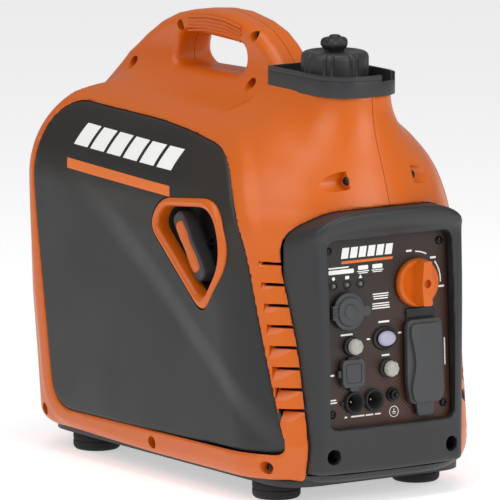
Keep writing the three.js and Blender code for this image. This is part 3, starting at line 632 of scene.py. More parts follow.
def screw_head():
    r = SCREW_RADIUS
    head = turned("screw", [(0, 2.4), (r * 0.5, 2.3), (r * 0.85, 1.6), (r, 0.5), (r, -0.6), (0, -0.6)], 18)
    slots = [
        prism("slot", [(-a, -b), (a, -b), (a, b), (-a, b)], 1.0, 4.0) for a, b in ((2.4, 0.55), (0.55, 2.4))
    ]
    return cut(head, slots)


def placed_tree(name):
    """A node tree that puts one piece on every point, its axis along that point's aim."""
    tree = bpy.data.node_groups.new(name, "GeometryNodeTree")
    tree.interface.new_socket("Places", in_out="INPUT", socket_type="NodeSocketGeometry")
    tree.interface.new_socket("Piece", in_out="INPUT", socket_type="NodeSocketObject")
    tree.interface.new_socket("Size", in_out="INPUT", socket_type="NodeSocketFloat")
    tree.interface.new_socket("Finish", in_out="INPUT", socket_type="NodeSocketMaterial")
    tree.interface.new_socket("Pieces", in_out="OUTPUT", socket_type="NodeSocketGeometry")
    given = add_node(tree, "NodeGroupInput")
    aim_value = add_node(
        tree, "GeometryNodeInputNamedAttribute", {"Name": "aim"}, data_type="FLOAT_VECTOR")
    turn = add_node(
        tree, "FunctionNodeAlignRotationToVector", links={"Vector": (aim_value, "Attribute")}, axis="Z")
    piece = add_node(tree, "GeometryNodeObjectInfo", links={"Object": (given, "Piece")})
    copies = add_node(tree, "GeometryNodeInstanceOnPoints", links={
        "Points": (given, "Places"), "Instance": (piece, "Geometry"),
        "Rotation": (turn, "Rotation"), "Scale": (given, "Size"),
    })
    real = add_node(tree, "GeometryNodeRealizeInstances", links={"Geometry": (copies, "Instances")})
    paint = add_node(
        tree, "GeometryNodeSetMaterial",
        links={"Geometry": (real, "Geometry"), "Material": (given, "Finish")})
    add_node(tree, "NodeGroupOutput", links={"Pieces": (paint, "Geometry")})
    return tree


PLACED = placed_tree("placed_pieces")


def placed(name, piece, places, material, size=1.0, body="case", angle=35):
    """Copies of a piece at each (point in millimetres, aim), as one object; the piece itself is removed."""
    mesh = bpy.data.meshes.new(name)
    mesh.from_pydata([tuple(Vector(point) * MM) for point, _ in places], [], [])
    aims = mesh.attributes.new("aim", "FLOAT_VECTOR", "POINT")
    aims.data.foreach_set("vector", [c for _, aimed in places for c in aimed])
    obj = bpy.data.objects.new(name, mesh)
    bpy.context.collection.objects.link(obj)
    run_tree(obj, PLACED, {"Piece": piece, "Size": size, "Finish": material})
    bpy.data.objects.remove(piece)
    return finish_piece(obj, material, body, angle=angle)


case_screws = [
    ((side * (floor_x + 1), y, z), (side, 0, 0))
    for y, z, _, floor_x, _ in WELLS
    for side in (-1, 1)
]
placed("case_screws", screw_head(), case_screws, BLACK_ZINC)

# ---- Side covers ---------------------------------------------------------------------------------
# Charcoal ABS covers set flush in the shells. A pressed crease runs down each from the top rear to
# the bottom front, and the surface sinks to it from both sides, deeper towards the front. A printed
# film with a fine diagonal weave covers the upper part and carries plain stripes.
COVER_GAP = 0.6
COVER_WALL = 2.6
BEZEL_OUTLINE = [(-106, 177, 18), (-10, 256, 22), (-30, 286, 20), (-128, 296, 26), (-148, 236, 26)]
CREASE_DEPTH = 5.5
CREASE_FACE = 34.0
FILM_LINE = (250.0, 0.165)
COVER_POINTS = rounded(SIDE_OUTLINE, grow=-COVER_GAP, steps=5)


def crease_height(y):
    """Height of the crease along the cover, a shallow parabola."""
    return 224.5 + 0.597 * (y - 47) - 0.00043 * (y - 47) ** 2


def crease(y, z):
    """How far the cover is sunk below the skin."""
    above = (z - crease_height(y)) * 0.84
    below_edge = (z - 32 - 0.93 * (y - 31)) * 0.73
    depth = CREASE_DEPTH * ramp(y, 165, -60)
    behind = depth * np.clip(below_edge / np.maximum(below_edge - above, 1), 0, 1)
    return np.where(above > 0, depth * (1 - soft_step(above, 2, CREASE_FACE)), behind)


def cover_field(x, y, z):
    edge = rolled_edge(-outline_distance(COVER_POINTS, y, z), 2.0)
    return skin_distance(x, y, z) + COVER_GAP + edge + crease(y, z)


def closed_cover(x, y, z, inset, reach):
    """The cover as a closed body that runs on behind and past its own outline."""
    beyond = outline_distance(COVER_POINTS, y, z) - reach
    return np.maximum(np.maximum(cover_field(x, y, z) + inset, beyond), 88 - reach - np.abs(x))


def faced_outward(obj):
    work = bmesh.new()
    work.from_mesh(obj.data)
    bmesh.ops.recalc_face_normals(work, faces=work.faces)
    work.to_mesh(obj.data)
    work.free()
    return obj


def film(name, corners, side, surface, lift=0.12, steps=(24, 8)):
    """A thin printed strip between four (y, z) corners, laid on a surface of the case."""
    a, b, c, d = (np.array(p, float) for p in corners)
    s, t = np.meshgrid(np.linspace(0, 1, steps[0]), np.linspace(0, 1, steps[1]), indexing="ij")
    s, t = s.ravel()[:, None], t.ravel()[:, None]
    yz = (a * (1 - s) + b * s) * (1 - t) + (d * (1 - s) + c * s) * t
    inner, outer = np.full(len(yz), 60.0), np.full(len(yz), 150.0)
    for _ in range(30):
        middle = (inner + outer) / 2
        outside = surface(side * middle, yz[:, 0], yz[:, 1]) > 0
        inner, outer = np.where(outside, inner, middle), np.where(outside, middle, outer)
    rows = steps[1]
    count = len(yz)
    points = [
        (side * (x + layer * lift * 2 - lift), y, z)
        for layer in (0, 1)
        for x, (y, z) in zip(inner, yz)
    ]
    faces = []
    for i in range(steps[0] - 1):
        for j in range(rows - 1):
            ring = [i * rows + j, (i + 1) * rows + j, (i + 1) * rows + j + 1, i * rows + j + 1]
            faces += [ring, [p + count for p in ring[::-1]]]
    rim = [i * rows for i in range(steps[0])] + [(steps[0] - 1) * rows + j for j in range(1, rows)]
    rim += [i * rows + rows - 1 for i in range(steps[0] - 2, -1, -1)] + list(range(rows - 2, 0, -1))
    faces += [(rim[i - 1], rim[i - 1] + count, p + count, p) for i, p in enumerate(rim)]
    return faced_outward(mesh_object(name, points, faces))


def woven_cover():
    """Charcoal ABS, woven diagonally above a slanting line with a thread each 4.2 mm along the case."""
    material = moulded("charcoal moulded ABS with printed film", "1F2021", 0.46, grain=0.3)
    tree = material.node_tree
    shader = tree.nodes["Principled BSDF"]
    plain = shader.inputs["Base Color"].links[0].from_node
    place = add_node(tree, "ShaderNodeTexCoord")
    axes = add_node(tree, "ShaderNodeSeparateXYZ", links={"Vector": (place, "Object")})
    slope = add_node(
        tree, "ShaderNodeMath", {1: FILM_LINE[1]}, {0: (axes, "Y")}, operation="MULTIPLY")
    over = add_node(
        tree, "ShaderNodeMath", links={0: (axes, "Z"), 1: (slope, "Value")}, operation="SUBTRACT")
    mask = add_node(tree, "ShaderNodeMapRange", {
        "From Min": (FILM_LINE[0] - 4) * MM, "From Max": (FILM_LINE[0] + 4) * MM,
    }, {"Value": (over, "Value")})
    fade = add_node(tree, "ShaderNodeMapRange", {
        "From Min": -0.02, "From Max": -0.12, "To Min": 0.25, "To Max": 0.9,
    }, {"Value": (axes, "Y")})
    diagonal = add_node(
        tree, "ShaderNodeMath", links={0: (axes, "Y"), 1: (axes, "Z")}, operation="ADD")
    phase = add_node(
        tree, "ShaderNodeMath", {1: 2 * math.pi / (4.2 * MM)}, {0: (diagonal, "Value")}, operation="MULTIPLY")
    wave = add_node(tree, "ShaderNodeMath", links={0: (phase, "Value")}, operation="SINE")
    thread = add_node(tree, "ShaderNodeMapRange", {
        "From Min": -0.2, "From Max": 0.6,
    }, {"Value": (wave, "Value")})
    both = add_node(
        tree, "ShaderNodeMath", links={0: (thread, "Result"), 1: (fade, "Result")}, operation="MULTIPLY")
    dark = add_node(tree, "ShaderNodeMix", links={"Factor": (both, "Value")}, data_type="RGBA")
    dark.inputs["A"].default_value = srgb("191614")
    dark.inputs["B"].default_value = srgb("33281F")
    final = add_node(
        tree, "ShaderNodeMix", data_type="RGBA",
        links={"Factor": (mask, "Result"), "A": (plain, "Result"), "B": (dark, "Result")})
    tree.links.new(final.outputs["Result"], shader.inputs["Base Color"])
    return material


WOVEN = woven_cover()
WHITE_INK = moulded("white screen ink", "F2F2EE", 0.45, grain=0.05, mottle=0.01)
ORANGE_INK = moulded("orange screen ink", "E0702A", 0.45, grain=0.05, mottle=0.02)

for name, side in (("left_side_cover", -1), ("right_side_cover", 1)):
    span = sorted((side * 74, side * (HALF_WIDTH + 1)))
    low = (span[0], -236, 28)
    high = (span[1], 226, 376)
    cover = skin_solid(name + "_moulding", lambda x, y, z: closed_cover(x, y, z, 0, 4), low, high, GRID)
    hollow = skin_solid("hollow", lambda x, y, z: closed_cover(x, y, z, COVER_WALL, 8), low, high, 4.2)
    reach = sorted((side * 88, side * 150))
    cut(cover, [hollow])
    cut(cover, [prism("keep", rounded(SIDE_OUTLINE, grow=-COVER_GAP, steps=8), *reach, SIDE)], "INTERSECT")
    if side < 0:
        cut(cover, [prism("starter", rounded(BEZEL_OUTLINE, grow=COVER_GAP, steps=8), -150, -60, SIDE)])
    finish_piece(cover, WOVEN, "case", [name])

STRIPE_START = 139.0
STRIPE_COUNT = 6
STRIPE_PITCH = 30.5
STRIPE_SLANT = 7.0
for side, tag in ((-1, "left"), (1, "right")):
    stripes = []
    for i in range(STRIPE_COUNT):
        y = STRIPE_START - i * STRIPE_PITCH
        drop = 0.03 * (STRIPE_START - y)
        base = 318 - drop
        top = 339 - drop
        ends = [(y, base), (y - 25, base - 0.7), (y - 25 - STRIPE_SLANT, top - 0.7), (y - STRIPE_SLANT, top)]
        stripes.append(film("stripe", ends, side, cover_field))
    finish_piece(joined(tag + "_white_stripes", stripes), WHITE_INK, angle=50)
    band = [(144, 304), (-43, 298), (-46, 288), (141, 294)]
    orange_band = film(tag + "_orange_band", band, side, cover_field, steps=(60, 5))
    finish_piece(orange_band, ORANGE_INK)

# ---- Front fascia --------------------------------------------------------------------------------
# A charcoal ABS frame that stands proud of the nose and leans back with the control panel. A rim
# runs round the window, a visor crosses the top, and two deep holes at the foot hold its screws.
CHARCOAL = moulded("charcoal moulded ABS", "252628", 0.46, grain=0.25)
FASCIA_WALL = 3.6
FASCIA_SIDE = [(-170, 2), (-249, 2), (-251, 66), (-243.5, 170), (-236, 258), (-236.5, 264), (-245.5, 276),
               (-247.5, 282), (-247, 289), (-236, 330), (-170, 330)]
WINDOW_WIDTH = 148.0
WINDOW_FOOT = -95.0
WINDOW_TOP = 91.0
SCREW_HOLE = (70.0, 50.0, 7.3)

joints = {joint["name"]: joint for joint in frame["record"]["behaviour"]["joints"]}
lean = math.asin(joints["engine_dial_turn"]["axis"][2])
panel_low, panel_high = (Vector(p) * 1000 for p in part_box("control_panel"))
PANEL_TOP = 93.0
PANEL_FOOT = 97.0
PANEL = Matrix.Translation((
    0, panel_low.y + PANEL_FOOT * math.sin(lean), panel_high.z - PANEL_TOP * math.cos(lean),
)) @ Matrix.Rotation(math.pi / 2 - lean, 4, "X")


def fascia_solid(x, y, z, inset):
    side = outline_distance(FASCIA_SIDE, y, z)
    width = np.abs(x)
    front = -241 - 7 * (1 - (np.minimum(width, 86) / 86) ** 2)
    flank = ((width - 85) * 45 - (y + 241) * 19) / math.hypot(45, 19)
    plan = soft_max(front - y, flank, 6)
    outline = outline_distance(FRONT_POINTS, x, z) + 0.6
    return soft_max(soft_max(side, plan, 5), outline, 6) + inset


def fascia_field(x, y, z):
    down = PANEL.inverted()
    v = down[1][1] * y + down[1][2] * z + down[1][3]
    w = down[2][1] * y + down[2][2] * z + down[2][3]
    middle = (WINDOW_TOP + WINDOW_FOOT) / 2
    window = corner(
        np.abs(x) - WINDOW_WIDTH / 2 + 9, np.abs(v - middle) - (WINDOW_TOP - WINDOW_FOOT) / 2 + 9, 9)
    outer = fascia_solid(x, y, z, 0)
    solid = np.maximum(outer, -(outer + FASCIA_WALL))
    solid = np.maximum(solid, y + 196)
    pocket = np.maximum(np.maximum(window - 3, 0.6 - w), outer)
    solid = soft_min(solid, pocket, 1.5)
    tube_at = np.hypot(np.abs(x) - SCREW_HOLE[0], z - SCREW_HOLE[1])
    solid = np.minimum(solid, np.maximum(np.maximum(tube_at - SCREW_HOLE[2] - 2.4, outer), y + 216))
    solid = soft_max(solid, -window, 2.2)
    return soft_max(solid, np.minimum(SCREW_HOLE[2] - tube_at, 50), 1.2)


FASCIA_GRID = 2.0
fascia = skin_solid(
    "front_fascia_moulding", fascia_field, (-104, -253, 26), (104, -192, 297), FASCIA_GRID)
finish_piece(fascia, CHARCOAL, "case", ["front_fascia"])
fascia_screws = [((side * SCREW_HOLE[0], -219, SCREW_HOLE[1]), (0, -1, 0)) for side in (-1, 1)]
placed("fascia_screws", screw_head(), fascia_screws, BLACK_ZINC, size=1.2)

# ---- Base pan and rear cover ---------------------------------------------------------------------
# A charcoal floor pan whose front lip closes the case below the fascia, and a black rear cover set
# flush between the shells, with slanting slats over the hot air outlet and a hole for the exhaust.
BLACK = moulded("black moulded ABS", "1A1B1C", 0.5, grain=0.3)
pan = prism("base_pan_moulding", rectangle(219, 439, 40), 18.1, 24.4)


def lip_field(x, y, z, inset, reach):
    ends = np.maximum(np.abs(x) - 92 - reach, y + 202 - reach)
    levels = np.maximum(z - 36 - reach, 20 - reach - z)
    return np.maximum(np.maximum(skin_distance(x, y, z) + inset, ends), levels)


lip = skin_solid("lip", lambda x, y, z: lip_field(x, y, z, 0.5, 0), (-100, -256, 8), (100, -188, 50), 2.6)
inside_lip = skin_solid(
    "inside_lip", lambda x, y, z: lip_field(x, y, z, 3.2, 4), (-104, -256, 6), (104, -188, 50), 4)
cut(lip, [inside_lip])
cut(lip, [prism("keep", rectangle(180, 120, 2, 0, -240), 21.6, 30.6)], "INTERSECT")
cut(pan, [lip], "UNION")
finish_piece(pan, CHARCOAL, "case", ["base_pan"], bevel=0.8)

REAR_POINTS = rounded(REAR_OUTLINE, grow=-COVER_GAP, steps=5)
SLOT_COUNT = 7
SLOT_PITCH = 18.0
SLOT_FOOT = 84.0
SLOT_HEIGHT = 7.0
exhaust_low, exhaust_high = (Vector(p) * 1000 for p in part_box("exhaust_outlet"))
EXHAUST_X = (exhaust_low.x + exhaust_high.x) / 2
EXHAUST_Z = (exhaust_low.z + exhaust_high.z) / 2


def rear_field(x, y, z):
    edge = rolled_edge(-outline_distance(REAR_POINTS, x, z), 2.0)
    dish = 3.0 * soft_step(-outline_distance(REAR_POINTS, x, z), 12, 22)
    return skin_distance(x, y, z) + COVER_GAP + edge + dish


def closed_rear(x, y, z, inset, reach):
    beyond = outline_distance(REAR_POINTS, x, z) - reach
    return np.maximum(np.maximum(rear_field(x, y, z) + inset, beyond), 192 - reach - y)


REAR_ROOM = (-146, 176, 30), (146, 256, 322)
rear = skin_solid("rear_cover_moulding", lambda x, y, z: closed_rear(x, y, z, 0, 3), *REAR_ROOM, GRID)
cut(rear, [skin_solid("hollow", lambda x, y, z: closed_rear(x, y, z, COVER_WALL, 8), *REAR_ROOM, 4.2)])
cut(rear, [prism("keep", rounded(REAR_OUTLINE, grow=-COVER_GAP, steps=8), -300, -188, FRONT)], "INTERSECT")
slot_levels = [SLOT_FOOT + SLOT_HEIGHT / 2 + i * SLOT_PITCH for i in range(SLOT_COUNT)]
slots = [
    prism("slot", rectangle(108, SLOT_HEIGHT, 3, -34, level), -300, -180, FRONT)
    for level in slot_levels
]
exhaust_hole = prism("exhaust", circle(27, 48, EXHAUST_X, EXHAUST_Z), -300, -150, FRONT)
cut(rear, [joined("slots", slots), exhaust_hole])
finish_piece(rear, BLACK, "case", ["rear_cover"])

slat = prism("slat", [(-6, -1), (6, -1), (6, 1), (-6, 1)], -56, 56, Matrix.Rotation(math.pi / 2, 4, "Y"))
slat.data.transform(Matrix.Rotation(math.radians(40), 4, "X"))
slat_places = [((-34, 234, level), (0, 0, 1)) for level in slot_levels]
placed("rear_slats", slat, slat_places, BLACK)

# ---- Recoil starter ------------------------------------------------------------------------------
# An orange ring stands proud of the left cover around a black bucket. In it hangs the handle, grey
# rubber with an orange insert, on a braided cord that runs in to the recoil reel.
ring_low, ring_high = (Vector(p) * 1000 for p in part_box("starter_bezel"))
RING_RIM = 9.0


def lofted(name, loops, view, ring=False):
    """A closed body through a row of (outline, level) loops: a solid, or a ring that closes on itself."""
    count = len(loops[0][0])
    points = [view @ Vector((x, y, level)) for outline, level in loops for x, y in outline]
    pairs = [(i, (i + 1) % len(loops)) for i in range(len(loops) - (0 if ring else 1))]
    faces = [
        (a * count + k, a * count + (k + 1) % count, b * count + (k + 1) % count, b * count + k)
        for a, b in pairs
        for k in range(count)
    ]
    if not ring:
        faces += [list(range(count))[::-1], [(len(loops) - 1) * count + k for k in range(count)]]
    return faced_outward(mesh_object(name, points, faces))


FACE_STEPS = 12
face_depth = 5.5
ring_loops = [(0, ring_high.x)]
for i in range(FACE_STEPS + 1):
    turn = math.pi * i / FACE_STEPS
    ring_loops.append((-RING_RIM / 2 * (1 - math.cos(turn)), ring_low.x + face_depth * (1 - math.sin(turn))))
ring_loops.append((-RING_RIM, ring_high.x))
ring = lofted("starter_bezel_moulding", [
    (rounded(BEZEL_OUTLINE, grow=grow, steps=14), level) for grow, level in ring_loops
], SIDE, ring=True)
finish_piece(ring, ORANGE, "case", ["starter_bezel"], angle=50)

grip_low, grip_high = (Vector(p) * 1000 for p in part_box("starter_grip"))
grip_middle = (grip_low + grip_high) / 2
bucket_low, bucket_high = (Vector(p) * 1000 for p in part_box("starter_bucket"))
BUCKET_WALL = 3.0
bucket_outline = rounded(BEZEL_OUTLINE, grow=-RING_RIM / 2, steps=8)
bucket_inside = rounded(BEZEL_OUTLINE, grow=-RING_RIM, steps=8)
bucket = prism("starter_bucket_moulding", bucket_outline, bucket_low.x, bucket_high.x, SIDE)
cut(bucket, [
    prism("hollow", bucket_inside, bucket_low.x - 9, bucket_high.x - BUCKET_WALL, SIDE),
    prism("rope_hole", circle(5, 24, grip_middle.y, grip_middle.z), -110, -80, SIDE),
])
finish_piece(bucket, BLACK, "case", ["starter_bucket"], bevel=0.6)

GRIP_TILT = math.radians(-36.7)
GRIP = Matrix.Translation(grip_middle) @ Matrix.Rotation(GRIP_TILT, 4, "X") @ SIDE
GREY_RUBBER = moulded("grey moulded rubber", "3B3C3E", 0.55, grain=0.35, ior=1.52)


def waved(width, height, radius, waves, swing):
    """A rounded bar outline whose long sides wave, for finger grooves."""
    points = rounded([
        (-width / 2, -height / 2, radius), (width / 2, -height / 2, radius), (width / 2, 0, 0),
        (width / 2, height / 2, radius), (-width / 2, height / 2, radius), (-width / 2, 0, 0),
    ], steps=8)
    fine = []
    for i, (x, y) in enumerate(points):
        px, py = points[i - 1]
        pieces = max(1, int(math.hypot(x - px, y - py) / 1.5))
        for k in range(1, pieces + 1):
            fx, fy = px + (x - px) * k / pieces, py + (y - py) * k / pieces
            fade = max(0.0, 1 - (abs(fy) / (height / 2 - radius * 0.5)) ** 4)
            wave_in = swing * fade * (0.5 + 0.5 * math.cos(waves * math.pi * fy / height))
            fine.append((fx - math.copysign(wave_in, fx), fy))
    return fine


def shrunk(outline, width, height, inset):
    return [(x * (1 - 2 * inset / width), y * (1 - 2 * inset / height)) for x, y in outline]


EDGE_ROLL = [(3.6, 9), (2.2, 8.8), (1.0, 8.1), (0.3, 7), (0, 5.4)]
bar_outline = waved(20, 76, 9, 4, 1.2)
grip = lofted("starter_grip_moulding", [
    *[(shrunk(bar_outline, 20, 76, inset), -level) for inset, level in EDGE_ROLL],
    *[(shrunk(bar_outline, 20, 76, inset), level) for inset, level in EDGE_ROLL[::-1]],
], GRIP)
cut(grip, [
    prism("pocket", waved(15, 58, 7, 4, 1.3), -14, -6.5, GRIP),
    prism("cord_hole", circle(2.6, 20), -1, 12, GRIP),
])
finish_piece(grip, GREY_RUBBER, "starter_grip", ["starter_grip"], angle=50)
insert_outline = waved(14.4, 57.4, 6.7, 4, 1.3)
insert = lofted("starter_grip_insert_moulding", [
    (shrunk(insert_outline, 14.4, 57.4, inset), level)
    for inset, level in ((2.4, -10.3), (1.2, -10.1), (0.4, -9.5), (0, -8.7), (0, -6.6))
], GRIP)
finish_piece(insert, ORANGE, "starter_grip", ["starter_grip_insert"], angle=50)

# The cord: black braided nylon, its braid repeating every 6 mm at rest. It runs straight from the reel to the
# handle.
rope_low, rope_high = (Vector(p) * 1000 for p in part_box("starter_rope"))
ROPE_RADIUS = (rope_high.z - rope_low.z) / 2
ROPE_LAY = 6.0
ROPE_STRANDS = 4
ROPE_SIDES = 16
NYLON = moulded("black braided nylon", "26262A", 0.7, grain=0.5, ior=1.53)
rope_rings = int((rope_high.x - rope_low.x) / 0.8)
rope_points = []
for i in range(rope_rings + 1):
    x = rope_low.x + (rope_high.x - rope_low.x) * i / rope_rings
    for k in range(ROPE_SIDES):
        angle = 2 * math.pi * k / ROPE_SIDES
        lay = 2 * math.pi * x / ROPE_LAY
        braid = 0.1 * math.cos(ROPE_STRANDS * angle + lay) + 0.1 * math.cos(ROPE_STRANDS * angle - lay)
        reach = ROPE_RADIUS * (0.9 + braid / 2)
        y = grip_middle.y + reach * math.cos(angle)
        rope_points.append((x, y, grip_middle.z + reach * math.sin(angle)))
rope_faces = [
    (i * ROPE_SIDES + k, i * ROPE_SIDES + (k + 1) % ROPE_SIDES,
     (i + 1) * ROPE_SIDES + (k + 1) % ROPE_SIDES, (i + 1) * ROPE_SIDES + k)
    for i in range(rope_rings)
    for k in range(ROPE_SIDES)
]
rope_faces += [list(range(ROPE_SIDES))[::-1], [rope_rings * ROPE_SIDES + k for k in range(ROPE_SIDES)]]
rope = mesh_object("starter_cord", rope_points, [face[::-1] for face in rope_faces])
rope.data.polygons.foreach_set("use_smooth", [True] * len(rope.data.polygons))
rope.data.materials.append(NYLON)
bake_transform(rope)
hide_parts("starter_rope")

# ---- Filler: tray, cap and vent knob -------------------------------------------------------------
# A charcoal tray on the stand catches spilt fuel, with a low spout at its front. The cap is a deep
# fluted moulding that screws on the neck, and the small lobed knob on it opens the tank's vent.
tray_low, tray_high = (Vector(p) * 1000 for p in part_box("fuel_tray"))
TRAY_OUTLINE = [(-43, -207, 41), (43, -207, 41), (43, -83, 7), (-43, -83, 7)]
cap_low, cap_high = (Vector(p) * 1000 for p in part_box("fuel_cap"))
FILLER_Y = (cap_low.y + cap_high.y) / 2
tray = prism("fuel_tray_moulding", rounded(TRAY_OUTLINE, steps=20), tray_low.z, tray_high.z)
waist = prism("waist", rounded(TRAY_OUTLINE, grow=2, steps=20), tray_high.z - 4.6, tray_high.z - 4.0)
cut(waist, [prism("core", rounded(TRAY_OUTLINE, grow=-0.5, steps=20), tray_low.z, tray_high.z)])
cut(tray, [
    prism("hollow", rounded(TRAY_OUTLINE, grow=-3.5, steps=20), tray_low.z + 3, tray_high.z + 5),
    prism("neck_hole", circle(26.6, 64, 0, FILLER_Y), 380, 430),
    waist,
    prism("spout", rectangle(26, 40, 6, 24, -205), tray_high.z - 7, tray_high.z + 5),
])
finish_piece(tray, CHARCOAL, "case", ["fuel_tray"], bevel=1.0, segments=3)

CAP_PLACE = Matrix.Translation((0, FILLER_Y, 0))
CAP_RADIUS = 33.5
CAP_FLUTES = 8
FLUTE_DEPTH = 1.9
FLUTE_HALF = math.radians(3.2)
FLUTE_SPREAD = math.radians(6.5)


def cap_flutes(angle, radius, height):
    """Narrow grooves in pairs round the cap's side."""
    if radius < 29 or height < cap_low.z + 1:
        return radius
    pitch = 2 * math.pi / CAP_FLUTES
    nearest = abs((angle + pitch / 2) % pitch - pitch / 2)
    groove = max(0.0, 1 - ((nearest - FLUTE_SPREAD) / FLUTE_HALF) ** 2)
    return radius - FLUTE_DEPTH * groove * min(1.0, (radius - 29) / 3)


base_z, top_z = cap_low.z, cap_high.z
cap = turned("fuel_cap_moulding", [
    (0, top_z - 0.6), (20, top_z - 0.6), (21, top_z), (28.5, top_z - 0.2), (30.5, top_z - 0.9),
    (32.2, top_z - 2.3), (33.1, top_z - 4), (CAP_RADIUS, top_z - 6.5), (CAP_RADIUS, base_z + 3),
    (CAP_RADIUS, base_z + 0.8), (32.8, base_z), (28.5, base_z), (28.5, top_z - 4), (0, top_z - 4),
], 256, cap_flutes, CAP_PLACE)
finish_piece(cap, CHARCOAL, "fuel_cap", ["fuel_cap"], angle=50)

knob_low, knob_high = (Vector(p) * 1000 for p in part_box("cap_vent_knob"))


def knob_lobes(angle, radius, height):
    return radius * (1 + 0.085 * math.cos(5 * angle)) if radius > 8 else radius


kz, kt = knob_low.z, knob_high.z
knob = turned("cap_vent_knob_moulding", [
    (0, kt), (4, kt - 0.1), (5.5, kt - 1), (6.2, kt - 2.2), (9, kt - 2.6), (11.2, kt - 3.6), (12.7, kt - 5.4),
    (13.2, kt - 8), (13, kt - 10.5), (11.5, kt - 12.5), (9.5, kz + 0.6), (9.5, kz), (0, kz),
], 96, knob_lobes, CAP_PLACE)
finish_piece(knob, BLACK, "vent_knob", ["cap_vent_knob"], angle=50)

# ---- Feet ----------------------------------------------------------------------------------------
# Four black rubber feet, each a turned pad with a soft rolled edge and a groove, screwed to the pan.
BLACK_RUBBER = moulded("black moulded rubber", "1B1C1D", 0.78, grain=0.45, ior=1.52)
for foot in ("foot_front_left", "foot_front_right", "foot_rear_left", "foot_rear_right"):
    low, high = (Vector(p) * 1000 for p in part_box(foot))
    r = (high.x - low.x) / 2
    h = high.z
    profile = [
        (0, 0), (r - 5, 0), (r - 2.6, 0.6), (r - 0.8, 2.2), (r, 4.6), (r, 9), (r - 0.8, 9.6), (r - 0.8, 10.6),
        (r, 11.2), (r, h - 1), (r - 1, h), (0, h),
    ]
    under = Matrix.Translation(((low.x + high.x) / 2, (low.y + high.y) / 2, 0))
    pad = turned(foot + "_pad", profile, 56, None, under)
    finish_piece(pad, BLACK_RUBBER, "case", [foot], angle=50)

# ---- Control panel -------------------------------------------------------------------------------
# A plate under a printed polyester film: near black at the top left, with a brown diagonal weave that
# grows stronger towards the bottom right. Plain bars, arcs and simple signs stand for its legends.
DECAL = moulded("printed polyester film", "1D1613", 0.42, grain=0.1, mottle=0.03)
tree = DECAL.node_tree
shader = tree.nodes["Principled BSDF"]
ground = shader.inputs["Base Color"].links[0].from_node
place = add_node(tree, "ShaderNodeTexCoord")
axes = add_node(tree, "ShaderNodeSeparateXYZ", links={"Vector": (place, "Object")})
diagonal = add_node(tree, "ShaderNodeMath", links={0: (axes, "X"), 1: (axes, "Z")}, operation="ADD")
phase = add_node(
    tree, "ShaderNodeMath", {1: 2 * math.pi / (3.6 * MM)}, {0: (diagonal, "Value")}, operation="MULTIPLY")
wave = add_node(tree, "ShaderNodeMath", links={0: (phase, "Value")}, operation="SINE")
thread = add_node(tree, "ShaderNodeMapRange", {"From Min": -0.1, "From Max": 0.7}, {"Value": (wave, "Value")})
across = add_node(tree, "ShaderNodeMath", links={0: (axes, "X"), 1: (axes, "Z")}, operation="SUBTRACT")
fade = add_node(tree, "ShaderNodeMapRange", {
    "From Min": -0.26, "From Max": -0.05, "To Min": 0.0, "To Max": 0.95,
}, {"Value": (across, "Value")})
both = add_node(
    tree, "ShaderNodeMath", links={0: (thread, "Result"), 1: (fade, "Result")}, operation="MULTIPLY")
weave = add_node(
    tree, "ShaderNodeMix", links={"Factor": (both, "Value"), "A": (ground, "Result")}, data_type="RGBA")
weave.inputs["B"].default_value = srgb("6B3A1E")
tree.links.new(weave.outputs["Result"], shader.inputs["Base Color"])


def spot(node):
    """A node's middle, in the panel's own plane."""
    low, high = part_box(node)
    return PANEL.inverted() @ ((low + high) * 500)


def at(u, v, w=0.0):
    return PANEL @ Matrix.Translation((u, v, w))


PANEL_WIDTH = panel_high.x - panel_low.x
PLATE_MIDDLE = (PANEL_TOP - PANEL_FOOT) / 2
DIAL = spot("engine_dial")
DC_SOCKET = spot("dc_socket_cover")
DC_SOCKET.x -= 2
DC_BREAKER = spot("dc_breaker")
AC_BREAKER = spot("ac_breaker")
ECONOMY = spot("economy_bezel")
USB = spot("usb_port")
OUTLETS = [spot("parallel_outlet_1"), spot("parallel_outlet_2")]
GROUND = spot("ground_terminal")
DUPLEX = Vector((40.5, -33, 0))
LAMPS = {name: spot(name) for name in ("oil_lamp", "overload_lamp", "output_lamp")}
PANEL_SCREWS = [(-66, 80), (66, 80), (-66, -80.5), (66, -80.5)]

plate = prism(
    "control_panel_plate", rectangle(PANEL_WIDTH, PANEL_TOP + PANEL_FOOT, 10, 0, PLATE_MIDDLE), -3, 0, PANEL)
holes = [prism("hole", circle(5, 24), -20, 20, at(DIAL.x, DIAL.y))]
holes += [prism("hole", circle(14.2, 40), -20, 20, at(DC_SOCKET.x, DC_SOCKET.y))]
holes += [prism("hole", circle(6.5, 32), -20, 20, at(p.x, p.y)) for p in (DC_BREAKER, AC_BREAKER)]
holes += [prism("hole", circle(3.8, 24), -20, 20, at(GROUND.x, GROUND.y))]
holes += [prism("hole", circle(9.6, 40), -20, 20, at(p.x, p.y)) for p in OUTLETS]
holes += [prism("hole", circle(3.2, 24), -20, 20, at(p.x, p.y)) for p in LAMPS.values()]
holes += [prism("hole", rectangle(21.4, 23.4, 3), -20, 20, at(USB.x, USB.y))]
holes += [prism("hole", rectangle(22, 16, 5), -20, 20, at(ECONOMY.x, ECONOMY.y))]
holes += [prism("hole", rectangle(36, 72, 1), -20, 20, at(DUPLEX.x, DUPLEX.y))]
cut(plate, [joined("holes", holes)])
finish_piece(plate, DECAL, "case", ["control_panel"])

INK = 0.12


def ring_arc(radius, width, start, end, steps=28):
    """An arc of a ring, as a closed outline; the angles are in degrees."""
    turns = np.radians(np.linspace(start, end, steps))
    outer = [(radius + width / 2, t) for t in turns]
    inner = [(radius - width / 2, t) for t in turns[::-1]]
    return [(r * math.cos(t), r * math.sin(t)) for r, t in outer + inner]


